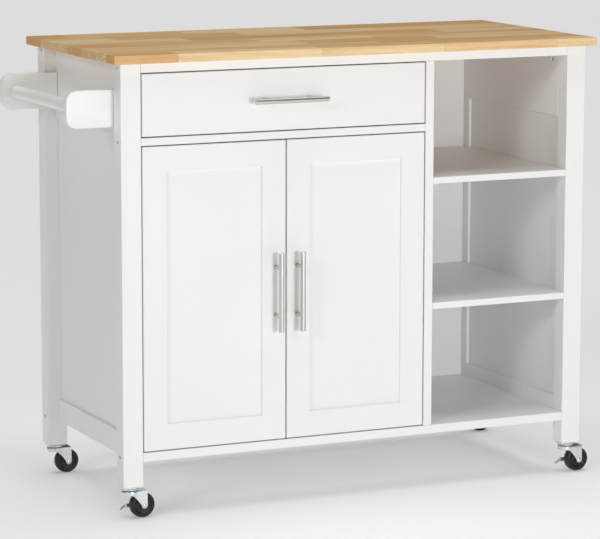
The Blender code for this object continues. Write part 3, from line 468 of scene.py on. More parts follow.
def zinc_finish(graph, tints):
    """Bright zinc plate: faintly mottled, with soft pressing marks."""
    place = graph.position()
    mottle = graph.noise(place, 170.0, 3.0, 0.6)
    marks = graph.noise(place, 45.0, 2.0)
    base = graph.mix(mottle, shade(tints.zinc, 0.84), shade(tints.zinc, 1.12))
    cool = graph.mix(graph.clear(marks, 0.35, 0.7), base, shade((0.74, 0.79, 0.82)))
    graph.finish(
        Base_Color=cool,
        Metallic=1.0,
        Roughness=0.22 + 0.16 * mottle,
        Normal=graph.bump(marks + 0.2 * mottle, 0.0002, 0.3),
    )


def bolt_finish(graph, tints):
    """Dark oiled steel with worn, brighter patches."""
    tint = tints.dark_steel
    worn = graph.noise(graph.position(), 500.0, 3.0)
    graph.finish(
        Base_Color=graph.mix(graph.clear(worn, 0.45, 0.75), shade(tint, 0.8), shade(tint, 2.0)),
        Metallic=1.0,
        Roughness=0.32 + 0.2 * worn,
        Normal=graph.bump(worn, 0.0001, 0.4),
    )


def wheel_finish(graph, tints):
    """Black moulded plastic with a rubbed tread: fine grain, and dust caught in it."""
    place = graph.position()
    grain = graph.noise(place, 1300.0, 2.0)
    dust = graph.clear(graph.noise(place, 110.0, 4.0, 0.65), 0.52, 0.85)
    graph.finish(
        Base_Color=graph.mix(0.25 * dust, shade(tints.rubber), (0.05, 0.049, 0.047, 1.0)),
        Roughness=0.36 + 0.12 * grain + 0.25 * dust,
        Specular_IOR_Level=0.3,
        Normal=graph.bump(grain, 0.00005, 0.5),
    )


def pin_finish(graph, _):
    """Nickel of the shelf pins, faintly hazed."""
    haze = graph.noise(graph.position(), 700.0, 2.0)
    graph.finish(
        Base_Color=graph.mix(haze, (0.55, 0.53, 0.5, 1.0), (0.72, 0.7, 0.67, 1.0)),
        Metallic=1.0,
        Roughness=0.2 + 0.15 * haze,
    )


# Y of the glue lines between rows of staves, from the worktop's front edge
ROW_EDGES = (0.0425, 0.1015, 0.1785, 0.2525, 0.3315, 0.4055)
FRONT_JOINT = 0.129           # first end joint of the front row, from the worktop's left end
STAVE_DRAW = 23.0             # which set of random tones the staves get
HEARTWOOD = (0.40, 0.25, 0.12, 1.0)
PORE = (0.30, 0.17, 0.07, 1.0)
GLUE_LINE = (0.30, 0.18, 0.08, 1.0)


def wood_finish(graph, _):
    """Solid edge-glued wood. A row number counts the glue lines in front of a point, and a stave number is
    the whole part of its place along the row in stave lengths. Each stave draws its own tone and its own
    pith line. Rings are the distance from that line, so that they show as arcs on the ends and as long lines
    on the faces. Fibres and pores are noise drawn out along X."""
    wood = bpy.context.scene.island_wood
    low, high = SPAN["countertop"]
    x, y, z = graph.split(graph.position())
    from_front = y - float(low[1])
    row = sum(((from_front > edge) for edge in ROW_EDGES), 0.0)
    run = (x - float(low[0] + FRONT_JOINT)) / wood.stave_length + row * 0.382
    run = run - 0.08 * graph.math("SINE", 1.35 * run + 4.1 * row)
    stave = graph.math("FLOOR", run)
    tone, draws = graph.add("TexWhiteNoise", {"noise_dimensions": "3D"},
                            {"Vector": graph.join(row, stave, STAVE_DRAW)})
    red, green, blue = graph.split(draws)

    pith_y = from_front - (0.062 * row + 0.03) - 0.07 * (red - 0.5) - 0.05 * (green - 0.5) * (x / 0.3)
    side = 2.0 * (blue > 0.5) - 1.0
    pith_z = z - float(high[2]) + 0.009 + side * (0.010 + 0.03 * green)
    drift = graph.noise(graph.join(1.3 * x, 20.0 * y, 20.0 * z + 9.0 * tone), 1.0, 3.0)
    radius = (pith_y * pith_y + pith_z * pith_z) ** 0.5 + 0.014 * drift
    ring = graph.math("FRACT", radius / wood.ring_spacing)
    late = graph.clear(ring, 0.2, 0.9) * (1.0 - graph.clear(ring, 0.93, 1.0))
    end_grain = graph.clear(abs(graph.split(graph.add("TexCoord", {}, {})[1])[0]), 0.5, 0.9)

    fibre = graph.noise(graph.join(14.0 * x, 620.0 * y, 620.0 * z), 1.0, 3.0, 0.6)
    streak = graph.noise(graph.join(1.5 * x + 31.0 * tone, 64.0 * y, 64.0 * z), 1.0, 4.0, 0.66)
    darker = graph.noise(graph.join(1.5 * x + 17.0 * green, 26.0 * y + 5.0 * row, 26.0 * z), 1.0, 2.0)
    heart = graph.clear(darker, 0.50, 0.72)
    pores = graph.clear(graph.noise(graph.join(60.0 * x, 1500.0 * y, 1500.0 * z), 1.0, 1.0), 0.62, 0.74)

    depth = graph.clear(0.42 * tone + 0.85 * streak, 0.30, 0.90)
    base = graph.mix(depth, shade(wood.pale), shade(wood.deep))
    base = graph.mix((0.13 + 0.55 * end_grain) * late, base, shade(wood.deep, 0.72))
    base = graph.mix((0.45 - 0.3 * end_grain) * heart, base, HEARTWOOD)
    base = graph.mix(0.25 * graph.clear(fibre, 0.35, 0.8), base, shade(wood.deep, 0.7))
    base = graph.mix(0.3 * pores, base, PORE)
    base = graph.mix(0.16 * end_grain, base, shade(wood.deep, 0.9))

    across = run - stave
    joint = (abs(across - 0.5) > 0.4985) * 1.0
    for edge in ROW_EDGES:
        joint = graph.math("MAXIMUM", joint, 1.0 - graph.clear(abs(from_front - edge), 0.0001, 0.0005))
    base = graph.mix(0.5 * joint, base, GLUE_LINE)
    height = 0.5 * fibre + 0.8 * late - 1.0 * pores - 1.5 * joint
    graph.finish(
        Base_Color=base,
        Roughness=0.47 + 0.12 * fibre + 0.06 * late + 0.05 * end_grain,
        Specular_IOR_Level=0.3,
        Normal=graph.bump(height, 0.00008, 0.6),
    )


# Each finish: its slot in the frame's record, its material's name, and what makes it from the settings
FINISHES = {
    "paint": ("white_paint", "semi_gloss_white_paint", paint_finish),
    "foil": ("drawer_board", "white_foil_on_board", foil_finish),
    "steel_across": ("pull_steel", "brushed_steel_across", partial(steel_finish, axis=0)),
    "steel_upright": ("pull_steel", "brushed_steel_upright", partial(steel_finish, axis=2)),
    "zinc": ("zinc_steel", "bright_zinc_plate", zinc_finish),
    "bolt": ("zinc_steel", "dark_bolt_steel", bolt_finish),
    "wheel": ("caster_rubber", "black_wheel_plastic", wheel_finish),
    "pin": ("zinc_steel", "nickel_pin", pin_finish),
    "wood": ("worktop_wood", "oiled_edge_glued_wood", wood_finish),
}


def finish_of(key):
    """The slot and the material of a finish, which is made once."""
    slot, name, maker = FINISHES[key]
    if name not in bpy.data.materials:
        maker(Graph(name), bpy.context.scene.island_finishes)
    return slot, bpy.data.materials[name]


# ---- pieces ---------------------------------------------------------------------------------------


class IslandOperator:
    """What the operators share."""

    bl_options = {"REGISTER", "UNDO"}


class ISLAND_OT_woodwork(IslandOperator, bpy.types.Operator):
    """Paint the carcass, legs, rails, shelves, doors and drawer front, and face the drawer box with foil"""

    bl_idname = "island.woodwork"
    bl_label = "Woodwork"

    def execute(self, context):
        finishes = dict(finish_of(key) for key in ("paint", "foil"))
        for part in frame["record"]["subparts"]:
            if part["material_slot"] in finishes:
                node, material = frame["nodes"][part["node"]], finishes[part["material_slot"]]
                if not node.material_slots:
                    node.data.materials.append(material)
                for slot in node.material_slots:
                    slot.material = material
        return {"FINISHED"}


class ISLAND_OT_worktop(IslandOperator, bpy.types.Operator):
    """Make the edge-glued worktop"""

    bl_idname = "island.worktop"
    bl_label = "Worktop"

    def execute(self, context):
        wood = context.scene.island_wood
        low, high = SPAN["countertop"]
        surface = slab(box_corners(low, high, 2), wood.corner, 2, low[2], high[2], wood.edge, 8)
        make_piece("worktop_slab", [surface], "wood", "frame", ["countertop"])
        return {"FINISHED"}


class ISLAND_OT_towel_rail(IslandOperator, bpy.types.Operator):
    """Make the two towel brackets and the bar let into them"""

    bl_idname = "island.towel_rail"
    bl_label = "Towel rail"

    def execute(self, context):
        hardware = context.scene.island_hardware
        low, high = SPAN["towel_bar"]
        middle, radius = (low + high) / 2, (high[0] - low[0]) / 2
        edge = hardware.bracket_edge
        bore_play, end_play, square, chamfer = 0.0003, 0.0001, 0.001, 0.001
        corners = (hardware.bracket_corner, square, square, hardware.bracket_corner)
        for place, bar_end in (("front", low[1]), ("rear", high[1])):
            near, far = SPAN[f"towel_bracket_{place}"]
            start, end = (near[1], far[1]) if place == "front" else (far[1], near[1])
            bore = ((middle[0], middle[2]), radius + bore_play, abs(end - bar_end))
            surface = slab(box_corners(near, far, 1), corners, 1, start, end, edge, 12, 12, bore)
            make_piece(f"{place}_rail_bracket", [surface], "paint", "frame", [f"towel_bracket_{place}"])
        profile = rod_profile(radius, low[1] + end_play, high[1] - end_play, chamfer)
        bar = turned(profile, 1, (middle[0], 0, middle[2]), 64)
        make_piece("round_towel_bar", [bar], "paint", "frame", ["towel_bar"])
        return {"FINISHED"}


def post_offsets(along, hardware):
    """Where a pull's two posts stand, from its middle."""
    offsets = np.zeros((2, 3))
    offsets[:, along] = (-hardware.post_spacing / 2, hardware.post_spacing / 2)
    return offsets


def pull_surfaces(node, along, hardware):
    """A pull: a chamfered bar on two posts. A post meets the bar at y = bar centre + sqrt(R^2 - w^2), where
    w is a point's distance from the bar's centre line."""
    low, high = SPAN[node]
    bar, post = hardware.pull_bar, hardware.pull_post
    segments, chamfer, collar = 36, 0.0009, 0.0005
    centre = (low + high) / 2
    bar_y, foot_y = low[1] + bar, high[1]
    middle = centre.copy()
    middle[1], middle[along] = bar_y, 0.0
    rod = turned(rod_profile(bar, low[along], high[along], chamfer), along, middle, 48)
    angle = np.arange(segments) * 2 * math.pi / segments
    reach = bar_y + np.sqrt(bar ** 2 - (post * np.sin(angle)) ** 2)
    radius = np.array((0, post - collar / 2, post, post, 0))[:, None]
    height = [np.broadcast_to(y, segments) for y in (foot_y, foot_y, foot_y - collar, reach, bar_y)]
    first, second = radius * np.cos(angle), radius * np.sin(angle)
    across, up = (first, second) if along == 0 else (second, first)
    points = lay(across, up, np.array(height), 1) + np.array([centre[0], 0, centre[2]])
    posts = (points.reshape(-1, 3), [grid_faces(len(height), segments, True)])
    return [rod, repeated(posts, post_offsets(along, hardware))]


class ISLAND_OT_pulls(IslandOperator, bpy.types.Operator):
    """Make the drawer pull and the two door pulls, with the screws behind them"""

    bl_idname = "island.pulls"
    bl_label = "Pulls"

    def execute(self, context):
        hardware = context.scene.island_hardware
        pulls = (("drawer_pull", 0, "drawer", "drawer_front", "steel_across"),
                 ("left_door_pull", 2, "left_door", "left_door_frame", "steel_upright"),
                 ("right_door_pull", 2, "right_door", "right_door_frame", "steel_upright"))
        head, height = 0.0042, 0.0022
        for node, along, body, board, steel in pulls:
            make_piece(f"{body}_bar_pull", pull_surfaces(node, along, hardware), steel, body, [node])
            seat = SPAN[node].mean(0)
            seat[1] = SPAN[board][1][1]
            heads = [screw_head(head, height, 1, seat + offset, 1, turn)
                     for offset, turn in zip(post_offsets(along, hardware), (0.4, 1.3))]
            make_piece(f"{body}_pull_screws", heads, "zinc", body)
        return {"FINISHED"}


def runner_section(face, inward, depth, half, sheet, middle):
    """A channel's section: a web with a flange above and below, as (X, Z) corners."""
    reach = np.array([0, depth, depth, sheet, sheet, depth, depth, 0])
    height = np.array([-half, -half, -half + sheet, -half + sheet, half - sheet, half - sheet, half, half])
    return np.stack((face + inward * reach, middle + height), -1)


class ISLAND_OT_runners(IslandOperator, bpy.types.Operator):
    """Make the drawer runners: outer and inner channels, and the balls that roll between them"""

    bl_idname = "island.runners"
    bl_label = "Drawer runners"

    def execute(self, context):
        hardware = context.scene.island_hardware
        sheet, ball = hardware.runner_sheet, hardware.ball
        bend, inner_bend, lip, end_round, play = 0.0016, 0.0004, 0.0003, 0.0001, 0.0001
        corner = (bend, lip, lip, inner_bend, inner_bend, lip, lip, bend)
        balls, pitch, first_ball = 14, 0.008, 0.01
        for side in SIDES:
            low, high = SPAN[f"cabinet_slide_{side}"]
            inner_low, inner_high = SPAN[f"drawer_slide_{side}"]
            middle, half = (low[2] + high[2]) / 2, (high[2] - low[2]) / 2
            inward, face, drawer_face = 1, low[0], inner_high[0]
            if side == "right":
                inward, face, drawer_face = -1, high[0], inner_low[0]
            track = half - sheet - 2 * ball - play
            outer = runner_section(face, inward, high[0] - low[0], half, sheet, middle)
            inner = runner_section(drawer_face, -inward, inner_high[0] - inner_low[0], track, sheet, middle)
            outer = slab(outer, corner, 1, low[1], high[1], end_round, 4)
            inner = slab(inner, corner, 1, inner_low[1], inner_high[1], end_round, 4)
            make_piece(f"{side}_outer_runner", [outer], "zinc", "frame", [f"cabinet_slide_{side}"])
            make_piece(f"{side}_inner_runner", [inner], "zinc", "drawer", [f"drawer_slide_{side}"])
            turn = np.linspace(0, math.pi, 7)
            sphere = turned(np.stack((ball * np.sin(turn), -ball * np.cos(turn)), -1), 1, (0, 0, 0), 10)
            rows = np.arange(balls) * pitch + low[1] + first_ball
            centre = np.array(((face + drawer_face) / 2, 0, middle))
            lift = track + ball + play / 2
            offsets = [centre + (0, row, level * lift) for level in (-1, 1) for row in rows]
            reach = np.array((0.0002, 0, track + 1.6 * ball))
            cage = slab(box_corners(centre - reach, centre + reach, 1), 0.0001, 1, rows[0] - 0.006,
                        rows[-1] + 0.006, 0.00005, 2)
            make_piece(f"{side}_ball_cage", [repeated(sphere, offsets), cage], "zinc", "frame")
        return {"FINISHED"}


class ISLAND_OT_hinges(IslandOperator, bpy.types.Operator):
    """Make the four concealed hinges: a cup with its flange in the door, a cranked arm and its plate"""

    bl_idname = "island.hinges"
    bl_label = "Hinges"

    def execute(self, context):
        for side in SIDES:
            inward = 1 if side == "left" else -1
            for level in LEVELS:
                self.make_cup(side, level, inward)
                self.make_arm(side, level, inward)
        return {"FINISHED"}

    def make_cup(self, side, level, inward):
        """A drawn cup with a rolled rim, a flange with two ears, and the flange's screws."""
        low, high = SPAN[f"hinge_cup_{side}_{level}"]
        centre = (low + high) / 2
        radius, rim, floor = (high[0] - low[0]) / 2, high[1], low[1]
        flange, lap, wall = 0.0012, 0.0027, 0.0011
        seat, bowl = rim - flange, radius - lap
        inside = bowl - wall
        profile = [(0, floor), (bowl - 0.002, floor), (bowl - 0.0006, floor + 0.0006), (bowl, floor + 0.002),
                   (bowl, seat), (radius - 0.0004, seat), (radius, seat + 0.0004),
                   (radius - 0.0003, rim - 0.0003), (radius - 0.001, rim), (bowl - 0.0002, rim),
                   (inside, rim - 0.0009), (inside, floor + 0.0025), (inside - 0.0016, floor + wall),
                   (0, floor + wall)]
        surfaces = [turned(profile, 1, (centre[0], 0, centre[2]), 64)]
        ear_x, ear_half, ear_near, ear_far = centre[0] + inward * 0.0095, 0.0055, 0.012, 0.028
        face = rim - 0.0001
        for start, end in ((-ear_far, -ear_near), (ear_near, ear_far)):
            ear = [(ear_x - ear_half, centre[2] + start), (ear_x + ear_half, centre[2] + start),
                   (ear_x + ear_half, centre[2] + end), (ear_x - ear_half, centre[2] + end)]
            surfaces.append(slab(ear, 0.0045, 1, seat, face, 0.0003, 8))
        make_piece(f"{side}_{level}_hinge_cup_shell", surfaces, "zinc", f"{side}_door",
                   [f"hinge_cup_{side}_{level}"])
        heads = [screw_head(0.0036, 0.0016, 1, (ear_x, face, centre[2] + shift), 1, turn)
                 for shift, turn in ((-0.0235, 0.2), (0.0235, 0.9))]
        make_piece(f"{side}_{level}_hinge_cup_screws", heads, "zinc", f"{side}_door")

    def make_arm(self, side, level, inward):
        """A cranked arm from the plate to the cup's mouth, the plate, and three screws."""
        low, high = SPAN[f"hinge_arm_{side}_{level}"]
        face, tip = (low[0], high[0]) if side == "left" else (high[0], low[0])
        middle = (low[2] + high[2]) / 2
        near, strip, half = high[1] - 0.016, 0.003, 0.006
        inner_tip = tip - inward * 0.007
        hook = [(face, near), (inner_tip, near), (inner_tip, low[1]), (tip, low[1]), (tip, near + strip),
                (face, near + strip)]
        radii = (0.0003, 0.002, 0.0012, 0.0012, 0.003, 0.0003)
        arm = slab(hook, radii, 2, middle - half, middle + half, 0.0005, 6)
        seat_x = face + inward * 0.0017
        plate_low = np.array([min(face, seat_x), near + 0.0006, low[2]])
        plate_high = np.array([max(face, seat_x), high[1], high[2]])
        plate = slab(box_corners(plate_low, plate_high, 0), 0.004, 0, plate_low[0], plate_high[0], 0.0003, 6)
        back, front, setback, half = face + inward * 0.0015, face + inward * 0.0075, 0.002, 0.0052
        ridge = [(back, near + setback), (front, near + setback), (front, high[1] - setback),
                 (back, high[1] - setback)]
        saddle = slab(ridge, (0.0003, 0.002, 0.002, 0.0003), 2, middle - half, middle + half, 0.0005, 5)
        make_piece(f"{side}_{level}_hinge_arm_strip", [arm, plate, saddle], "zinc", "frame",
                   [f"hinge_arm_{side}_{level}"])
        heads = [screw_head(0.0034, 0.0016, 0, (seat_x, (near + high[1]) / 2, middle + shift), inward, turn)
                 for shift, turn in ((-0.0108, 0.5), (0.0108, 1.1))]
        heads.append(screw_head(0.003, 0.0012, 1, (face + inward * 0.013, near + strip, middle), 1, 0.7))
        make_piece(f"{side}_{level}_hinge_plate_screws", heads, "zinc", "frame")


def fork_surface(crown, half, skirt, top, axle, foot, bend):
    """A pressed fork as an open sheet. The plan runs down one side, round the crown and back up the other.
    Row by row the sheet goes from the spine out to the bend, round a quarter circle and down the wall to the
    lower edge. That lies at the skirt's height behind, drops in front by its height times s^1.45, where s is
    the share of the way to the foot, and ends in a half circle about the axle."""
    turn = math.asin(half / crown)
    end, shoulder, count = axle[0] + foot, crown * math.cos(turn), 26
    cheek = shoulder + (end - shoulder) * np.sin(np.linspace(0, math.pi / 2, count))
    sweep = np.linspace(turn, 2 * math.pi - turn, 61)[1:-1]
    zero = np.zeros(count)
    plan_x = np.concatenate((cheek[::-1], crown * np.cos(sweep), cheek))
    plan_y = np.concatenate((zero + half, crown * np.sin(sweep), zero - half))
    out_x = np.concatenate((zero, np.cos(sweep), zero))
    out_y = np.concatenate((zero + 1, np.sin(sweep), zero - 1))
    in_x, in_y = plan_x - out_x * bend, plan_y - out_y * bend
    spine = np.clip(in_x, 0, end)

    drop_from = -0.15 * crown
    share = np.clip((plan_x - drop_from) / (end - 1.85 * foot - drop_from), 0, 1)
    curve = top - skirt - (top - skirt - axle[1]) * share ** 1.45
    round_end = axle[1] - np.sqrt(np.clip(foot ** 2 - (plan_x - axle[0]) ** 2, 0, None))
    lower = np.where(plan_x > axle[0] - foot * 0.9, np.minimum(curve, round_end), curve)
    lower = np.where(plan_x > axle[0], round_end, lower)

    rows = []
    track_depth, track_width = 0.0007, 0.0018
    for share in (0.0, 0.3, 0.55, 0.78, 1.0):
        x, y = spine + (in_x - spine) * share, in_y * share
        track = track_depth * np.exp(-((np.hypot(x, y) - 0.62 * crown) / track_width) ** 2)
        rows.append((x, y, top - track))
    for angle in np.radians((22.5, 45, 67.5, 90)):
        rows.append((in_x + out_x * bend * math.sin(angle), in_y + out_y * bend * math.sin(angle),
                     np.full(len(in_x), top - bend * (1 - math.cos(angle)))))
    for share in np.linspace(0, 1, 10)[1:]:
        rows.append((plan_x, plan_y, (top - bend) * (1 - share) + lower * share))
    points = np.array(rows).transpose(0, 2, 1)
    return points.reshape(-1, 3), [grid_faces(len(rows), len(plan_x), False)]


class ISLAND_OT_casters(IslandOperator, bpy.types.Operator):
    """Make the four swivel casters: top plate with its race, pressed fork, axle, wheel and brake lever"""

    bl_idname = "island.casters"
    bl_label = "Casters"

    def execute(self, context):
        for place in PLACES:
            swivel = next(j for j in frame["joints"] if j["name"] == f"swivel_{place}")["pos_m"]
            self.make_top(place, swivel)
            self.make_fork(place, swivel, context.scene.island_hardware.sheet)
            self.make_wheel(place)
            if place.startswith("front"):
                self.make_brake(place)
        return {"FINISHED"}

    def make_top(self, place, swivel):
        """A rounded plate, the bearing race pressed under it, and its four screws."""
        low, high = SPAN[f"caster_plate_{place}"]
        top, bottom = high[2], low[2]
        sheet, outer = 0.0022, 0.0165
        under = top - sheet
        plate = slab(box_corners(low, high, 2), 0.005, 2, under, top, 0.0005, 8)
        race = [(0, bottom), (outer * 0.72, bottom), (outer * 0.8, bottom + 0.0004),
                (outer * 0.93, bottom + 0.0003), (outer, bottom + 0.0011), (outer, bottom + 0.0026),
                (outer * 0.95, bottom + 0.0036), (outer * 0.86, under), (outer * 0.8, under + 0.0005),
                (0, under + 0.0005)]
        ring = turned(race, 2, (swivel[0], swivel[1], 0), 64)
        make_piece(f"{place}_caster_top", [plate, ring], "zinc", "frame", [f"caster_plate_{place}"])
        screw_x, screw_y = 0.0152, 0.0132
        seats = [(x, y, under) for x in (-screw_x, screw_x) for y in (-screw_y, screw_y)]
        heads = [screw_head(0.0027, 0.0015, 2, (swivel[0] + x, swivel[1] + y, z), -1, 0.3 + x * 90 + y * 50)
                 for x, y, z in seats]
        make_piece(f"{place}_caster_screws", heads, "zinc", "frame")

    def make_fork(self, place, swivel, sheet):
        """The pressed fork, and the axle riveted into it."""
        low, high = SPAN[f"caster_fork_{place}"]
        wheel = SPAN[f"caster_wheel_{place}"].mean(0)
        rivet, skirt, bend = 0.001, 0.008, 0.0026
        crown = swivel[0] - low[0]
        cheek = (high[1] - low[1]) / 2 - rivet
        axle = (wheel[0] - swivel[0], wheel[2])
        half, foot = min(cheek, crown * 0.9), high[0] - wheel[0]
        points, faces = fork_surface(crown, half, skirt, high[2], axle, foot, bend)
        points = points + np.array([swivel[0], swivel[1], 0.0])
        make_piece(f"{place}_caster_fork_shell", [(points, faces)], "zinc", f"caster_{place}",
                   [f"caster_fork_{place}"], sheet)
        head, edge = 0.0012, cheek - 0.0001
        end = [(0.003, edge - 0.0002), (0.0042, edge), (0.0038, edge + head * 0.4), (0.0022, edge + head),
               (0, edge + head)]
        pin = turned(facing(end[::-1], -1) + end, 1, wheel, 32)
        make_piece(f"{place}_caster_axle", [pin], "zinc", f"caster_{place}")

    def make_wheel(self, place):
        """A moulded wheel: crowned tread, round shoulders, a ring round the sunk web, and a hub boss. The
        side is listed as radii and how far each is sunk below the flank."""
        low, high = SPAN[f"caster_wheel_{place}"]
        radius, half = (high[0] - low[0]) / 2, (high[1] - low[1]) / 2
        web, shoulder, draft = 0.0031, 0.0042, 0.0003
        side = [(0.0034, 0.0003), (0.0037, 0), (0.0066, 0), (0.0072, 0.0006), (0.0078, 0.0024),
                (0.0088, web), (0.0152, web), (0.0163, 0.0024), (0.0169, 0.0007), (0.0176, 0.0002),
                (0.0192, 0.0002), (0.0196, 0.0007), (0.0201, 0.0007), (0.0205, 0.0002)]
        side += [(radius - draft - shoulder * (1 - math.sin(a)), shoulder * (1 - math.cos(a)))
                 for a in np.radians(np.arange(0, 91, 15))]
        upper = [(r, half - sunk) for r, sunk in side] + [(radius, half * 0.25)]
        profile = upper + facing(upper[::-1], -1) + upper[:1]
        make_piece(f"{place}_wheel_moulding", [turned(profile, 1, (low + high) / 2, 96)], "wheel",
                   f"wheel_{place}", [f"caster_wheel_{place}"])

    def make_brake(self, place):
        """A lever on the axle's end with a ribbed tab to press, its edges rounded."""
        low, high = SPAN[f"brake_pedal_{place}"]
        wheel = SPAN[f"caster_wheel_{place}"].mean(0)
        sheet, inner, ribs, rib = 0.002, low[1], 6, 0.0007
        reach, drop = wheel[0] - low[0] - 0.004, 0.005
        run = math.hypot(reach, drop)
        along = np.array([-reach, -drop]) / run
        across = np.array([-along[1], along[0]])
        lever = [(-0.0065, -0.0065), (0.004, -0.0065), (run * 0.55, -0.0036), (run - 0.004, -0.0048),
                 (run - 0.004, 0.0036), (run * 0.55, 0.0032), (0.004, 0.0065), (-0.0065, 0.0065)]
        outline = wheel[[0, 2]] + np.array(lever) @ np.array((along, across))
        radii = (0.006, 0.003, 0.012, 0.003, 0.003, 0.012, 0.003, 0.006)
        arm = slab(outline, radii, 1, inner, inner + sheet, 0.0004, 7)
        slope = np.linspace(0, 1, 2 * ribs + 1)
        ridge = np.where(np.arange(2 * ribs + 1) % 2, rib, 0.0)
        tread = np.stack((low[0] + 0.0135 * (1 - slope), wheel[2] - 0.0005 - 0.0105 * slope + ridge), -1)
        section = np.concatenate((tread, tread[[-1, 0]] - (0, 0.0018)))
        tab = slab(section, 0.0002, 1, inner + 0.0004, high[1], 0.0001, 2)
        outer = inner + sheet
        boss = turned([(0, inner - 0.0002), (0.0046, inner - 0.0002), (0.0046, outer + 0.0004),
                       (0.0040, outer + 0.0008), (0, outer + 0.0008)], 1, (wheel[0], 0, wheel[2]), 32)
        make_piece(f"{place}_brake_lever", [arm, tab, boss], "zinc", f"brake_{place}",
                   [f"brake_pedal_{place}"])


class ISLAND_OT_fasteners(IslandOperator, bpy.types.Operator):
    """Make the assembly bolts, the cross dowels in the end rails and the pins under the loose shelf"""

    bl_idname = "island.fasteners"
    bl_label = "Bolts, dowels and pins"

    def execute(self, context):
        self.make_bolts()
        self.make_dowels()
        self.make_pins()
        return {"FINISHED"}

    def make_bolts(self):
        """Bolt heads in the counterbores of the legs, in line with the boards that they hold."""
        sunk = 0.0039
        boards = ("bottom_board", "front_top_rail", "mid_rail")
        board_z, rail_z, mid_z = (SPAN[node][:, 2].mean() for node in boards)
        batten_y = SPAN["back_board"][0][1] + 0.0075
        for place in PLACES:
            row, side = place.split("_")
            low, high = SPAN[f"leg_{place}"]
            middle_y = (low[1] + high[1]) / 2
            out, face = (-1, low[0]) if side == "left" else (1, high[0])
            spots = [(middle_y, board_z), (batten_y if row == "rear" else middle_y, rail_z)]
            if place == "front_left":
                spots.append((middle_y, mid_z))
            heads = [bolt_head(0.0033, 0.0028, 0, (face - out * sunk, y, z), out) for y, z in spots]
            make_piece(f"{place}_assembly_bolts", heads, "bolt", "frame")

    def make_dowels(self):
        """Ends of the cross dowels in the inner faces of the upper end rails."""
        from_end, from_top, sunk = 0.0252, 0.031, 0.0095
        for side in SIDES:
            low, high = SPAN[f"{side}_upper_rail"]
            inner, way = (high[0], 1) if side == "left" else (low[0], -1)
            barrels = [bolt_head(0.0047, 0.0060, 0, (inner - way * sunk, y, high[2] - from_top), way)
                       for y in (low[1] + from_end, high[1] - from_end)]
            make_piece(f"{side}_cross_dowels", barrels, "bolt", "frame")

    def make_pins(self):
        """Pins with a collar, under the four corners of the loose shelf."""
        radius, collar, reach = 0.0025, 0.0040, 0.0086
        front_y, rear_y = SPAN["leg_front_left"][1][1] - 0.0065, SPAN["leg_rear_left"][0][1] + 0.0085
        profile = [(0, 0.0), (collar, 0.0), (collar, 0.0008), (radius, 0.0010), (radius, reach - 0.0004),
                   (radius - 0.0004, reach), (0, reach)]
        seat_z = SPAN["inner_shelf"][0][2] - radius
        pins = [turned(facing(profile, way), 0, (x, y, seat_z), 28)
                for x, way in ((SPAN["leg_front_left"][1][0], 1), (SPAN["divider_panel"][0][0], -1))
                for y in (front_y, rear_y)]
        make_piece("shelf_pins", pins, "pin", "frame")


# ---- stage ----------------------------------------------------------------------------------------


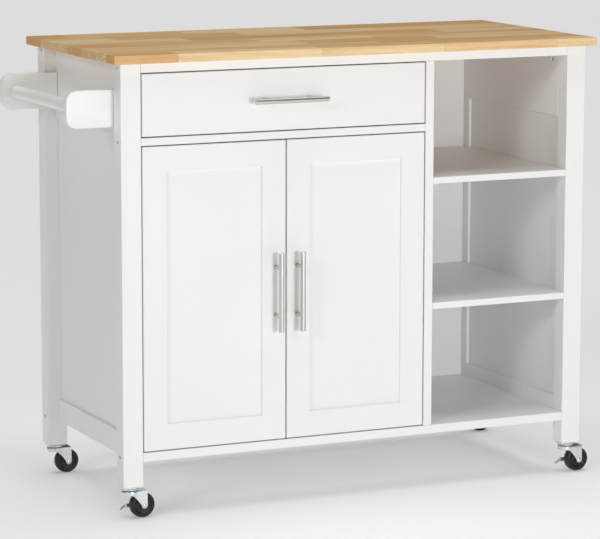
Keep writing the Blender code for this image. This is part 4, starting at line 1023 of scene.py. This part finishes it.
class ISLAND_OT_stage(IslandOperator, bpy.types.Operator):
    """Lay the pale floor, set the soft light and place the camera"""

    bl_idname = "island.stage"
    bl_label = "Floor, light and camera"

    def execute(self, context):
        settings = context.scene.island_stage
        self.lay_floor(settings)
        self.light(context, settings)
        self.place_camera(context)
        context.scene.view_settings.view_transform = "Standard"
        context.scene.view_settings.gamma = settings.gamma
        return {"FINISHED"}

    def lay_floor(self, settings):
        """A flat grid just under the wheels."""
        reach, count, drop = 30.0, 9, 0.0002
        steps = np.linspace(-reach, reach, count)
        x, y = np.meshgrid(steps, steps, indexing="ij")
        points = np.stack((x, y, np.full_like(x, -drop)), -1).reshape(-1, 3)
        mesh = bpy.data.meshes.new("floor")
        mesh.from_pydata(points.tolist(), [], grid_faces(count, count, False)[:, ::-1].tolist())
        graph = Graph("pale_floor")
        haze = graph.noise(graph.position(), 0.7, 2.0)
        graph.finish(Base_Color=graph.mix(haze, shade(settings.floor, 0.99), shade(settings.floor, 1.01)),
                     Roughness=0.75, Specular_IOR_Level=0.2, Emission_Color=(1.0, 1.0, 1.0, 1.0),
                     Emission_Strength=settings.floor_glow)
        mesh.materials.append(graph.material)
        floor = bpy.data.objects.new("floor", mesh)
        bpy.context.scene.collection.objects.link(floor)

    def light(self, context, settings):
        """Three broad lamps and a little light from all round. Each lamp is (azimuth from straight in front,
        elevation, spread, distance, strength). A strength of 1 lights a white face to full white, and a lamp
        with no distance is far away."""
        world = bpy.data.worlds.new("soft_light")
        context.scene.world = world
        world.use_nodes = True
        background = world.node_tree.nodes["Background"]
        background.inputs["Color"].default_value = (1.0, 0.99, 0.975, 1.0)
        background.inputs["Strength"].default_value = settings.sky
        lamps = {"front_light": (0, 5, 12, 4.0, settings.front),
                 "left_light": (-56, 21, 13, 0, settings.left),
                 "top_light": (0, 88, 50, 0, settings.top)}
        aim = Vector((0, 0, 0.45))
        for name, (azimuth, elevation, spread, distance, strength) in lamps.items():
            lamp = bpy.data.lights.new(name, "AREA" if distance else "SUN")
            if distance:
                lamp.shape, lamp.size = "DISK", 2 * distance * math.tan(math.radians(spread / 2))
                lamp.energy = strength * (math.pi * distance) ** 2
            else:
                lamp.angle, lamp.energy = math.radians(spread), strength * math.pi
            turn, rise = math.radians(azimuth), math.radians(elevation)
            level = math.cos(rise)
            toward = Vector((math.sin(turn) * level, -math.cos(turn) * level, math.sin(rise)))
            placed = bpy.data.objects.new(name, lamp)
            placed.location = aim + toward * (distance or 4)
            placed.rotation_euler = toward.to_track_quat("Z", "Y").to_euler()
            context.scene.collection.objects.link(placed)

    def place_camera(self, context):
        """Stand the camera to the left and a little above, with a long lens."""
        yaw, pitch, roll = 0.43261, 0.16202, 0.00158
        place, focal_length, sensor_width = (-2.51153, -5.44987, 1.40806), 179.02, 36.0
        ahead = Vector((math.sin(yaw) * math.cos(pitch), math.cos(yaw) * math.cos(pitch), -math.sin(pitch)))
        level = Vector((math.cos(yaw), -math.sin(yaw), 0))
        upright = level.cross(ahead)
        right = level * math.cos(roll) + upright * math.sin(roll)
        up = upright * math.cos(roll) - level * math.sin(roll)
        turn = Matrix((right, up, -ahead)).transposed().to_4x4()
        lens = bpy.data.cameras.new("camera")
        lens.lens, lens.sensor_width = focal_length, sensor_width
        lens.clip_start, lens.clip_end = 0.1, 100.0
        camera = bpy.data.objects.new("camera", lens)
        camera.matrix_world = Matrix.Translation(place) @ turn
        context.scene.collection.objects.link(camera)
        context.scene.camera = camera


class ISLAND_PT_panel(bpy.types.Panel):
    """The island's settings and the operators that make its pieces"""

    bl_idname = "ISLAND_PT_panel"
    bl_label = "Kitchen island"
    bl_space_type = "VIEW_3D"
    bl_region_type = "UI"
    bl_category = "Kitchen island"

    def draw(self, context):
        for name, group in GROUPS.items():
            box = self.layout.box()
            settings = getattr(context.scene, name)
            for field in group.__annotations__:
                box.prop(settings, field)
        for operator in OPERATORS:
            self.layout.operator(operator.bl_idname)


GROUPS = {"island_wood": IslandWood, "island_finishes": IslandFinishes, "island_hardware": IslandHardware,
          "island_stage": IslandStage}
OPERATORS = (ISLAND_OT_woodwork, ISLAND_OT_worktop, ISLAND_OT_towel_rail, ISLAND_OT_pulls, ISLAND_OT_runners,
             ISLAND_OT_hinges, ISLAND_OT_casters, ISLAND_OT_fasteners, ISLAND_OT_stage)


def register():
    for name, group in GROUPS.items():
        bpy.utils.register_class(group)
        setattr(bpy.types.Scene, name, PointerProperty(type=group))
    for cls in (*OPERATORS, ISLAND_PT_panel):
        bpy.utils.register_class(cls)


def unregister():
    for cls in (ISLAND_PT_panel, *reversed(OPERATORS)):
        bpy.utils.unregister_class(cls)
    for name, group in reversed(GROUPS.items()):
        delattr(bpy.types.Scene, name)
        bpy.utils.unregister_class(group)


def main():
    """Make every piece in order."""
    register()
    for operator in OPERATORS:
        family, name = operator.bl_idname.split(".")
        getattr(getattr(bpy.ops, family), name)()


if __name__ == "__main__":
    main()
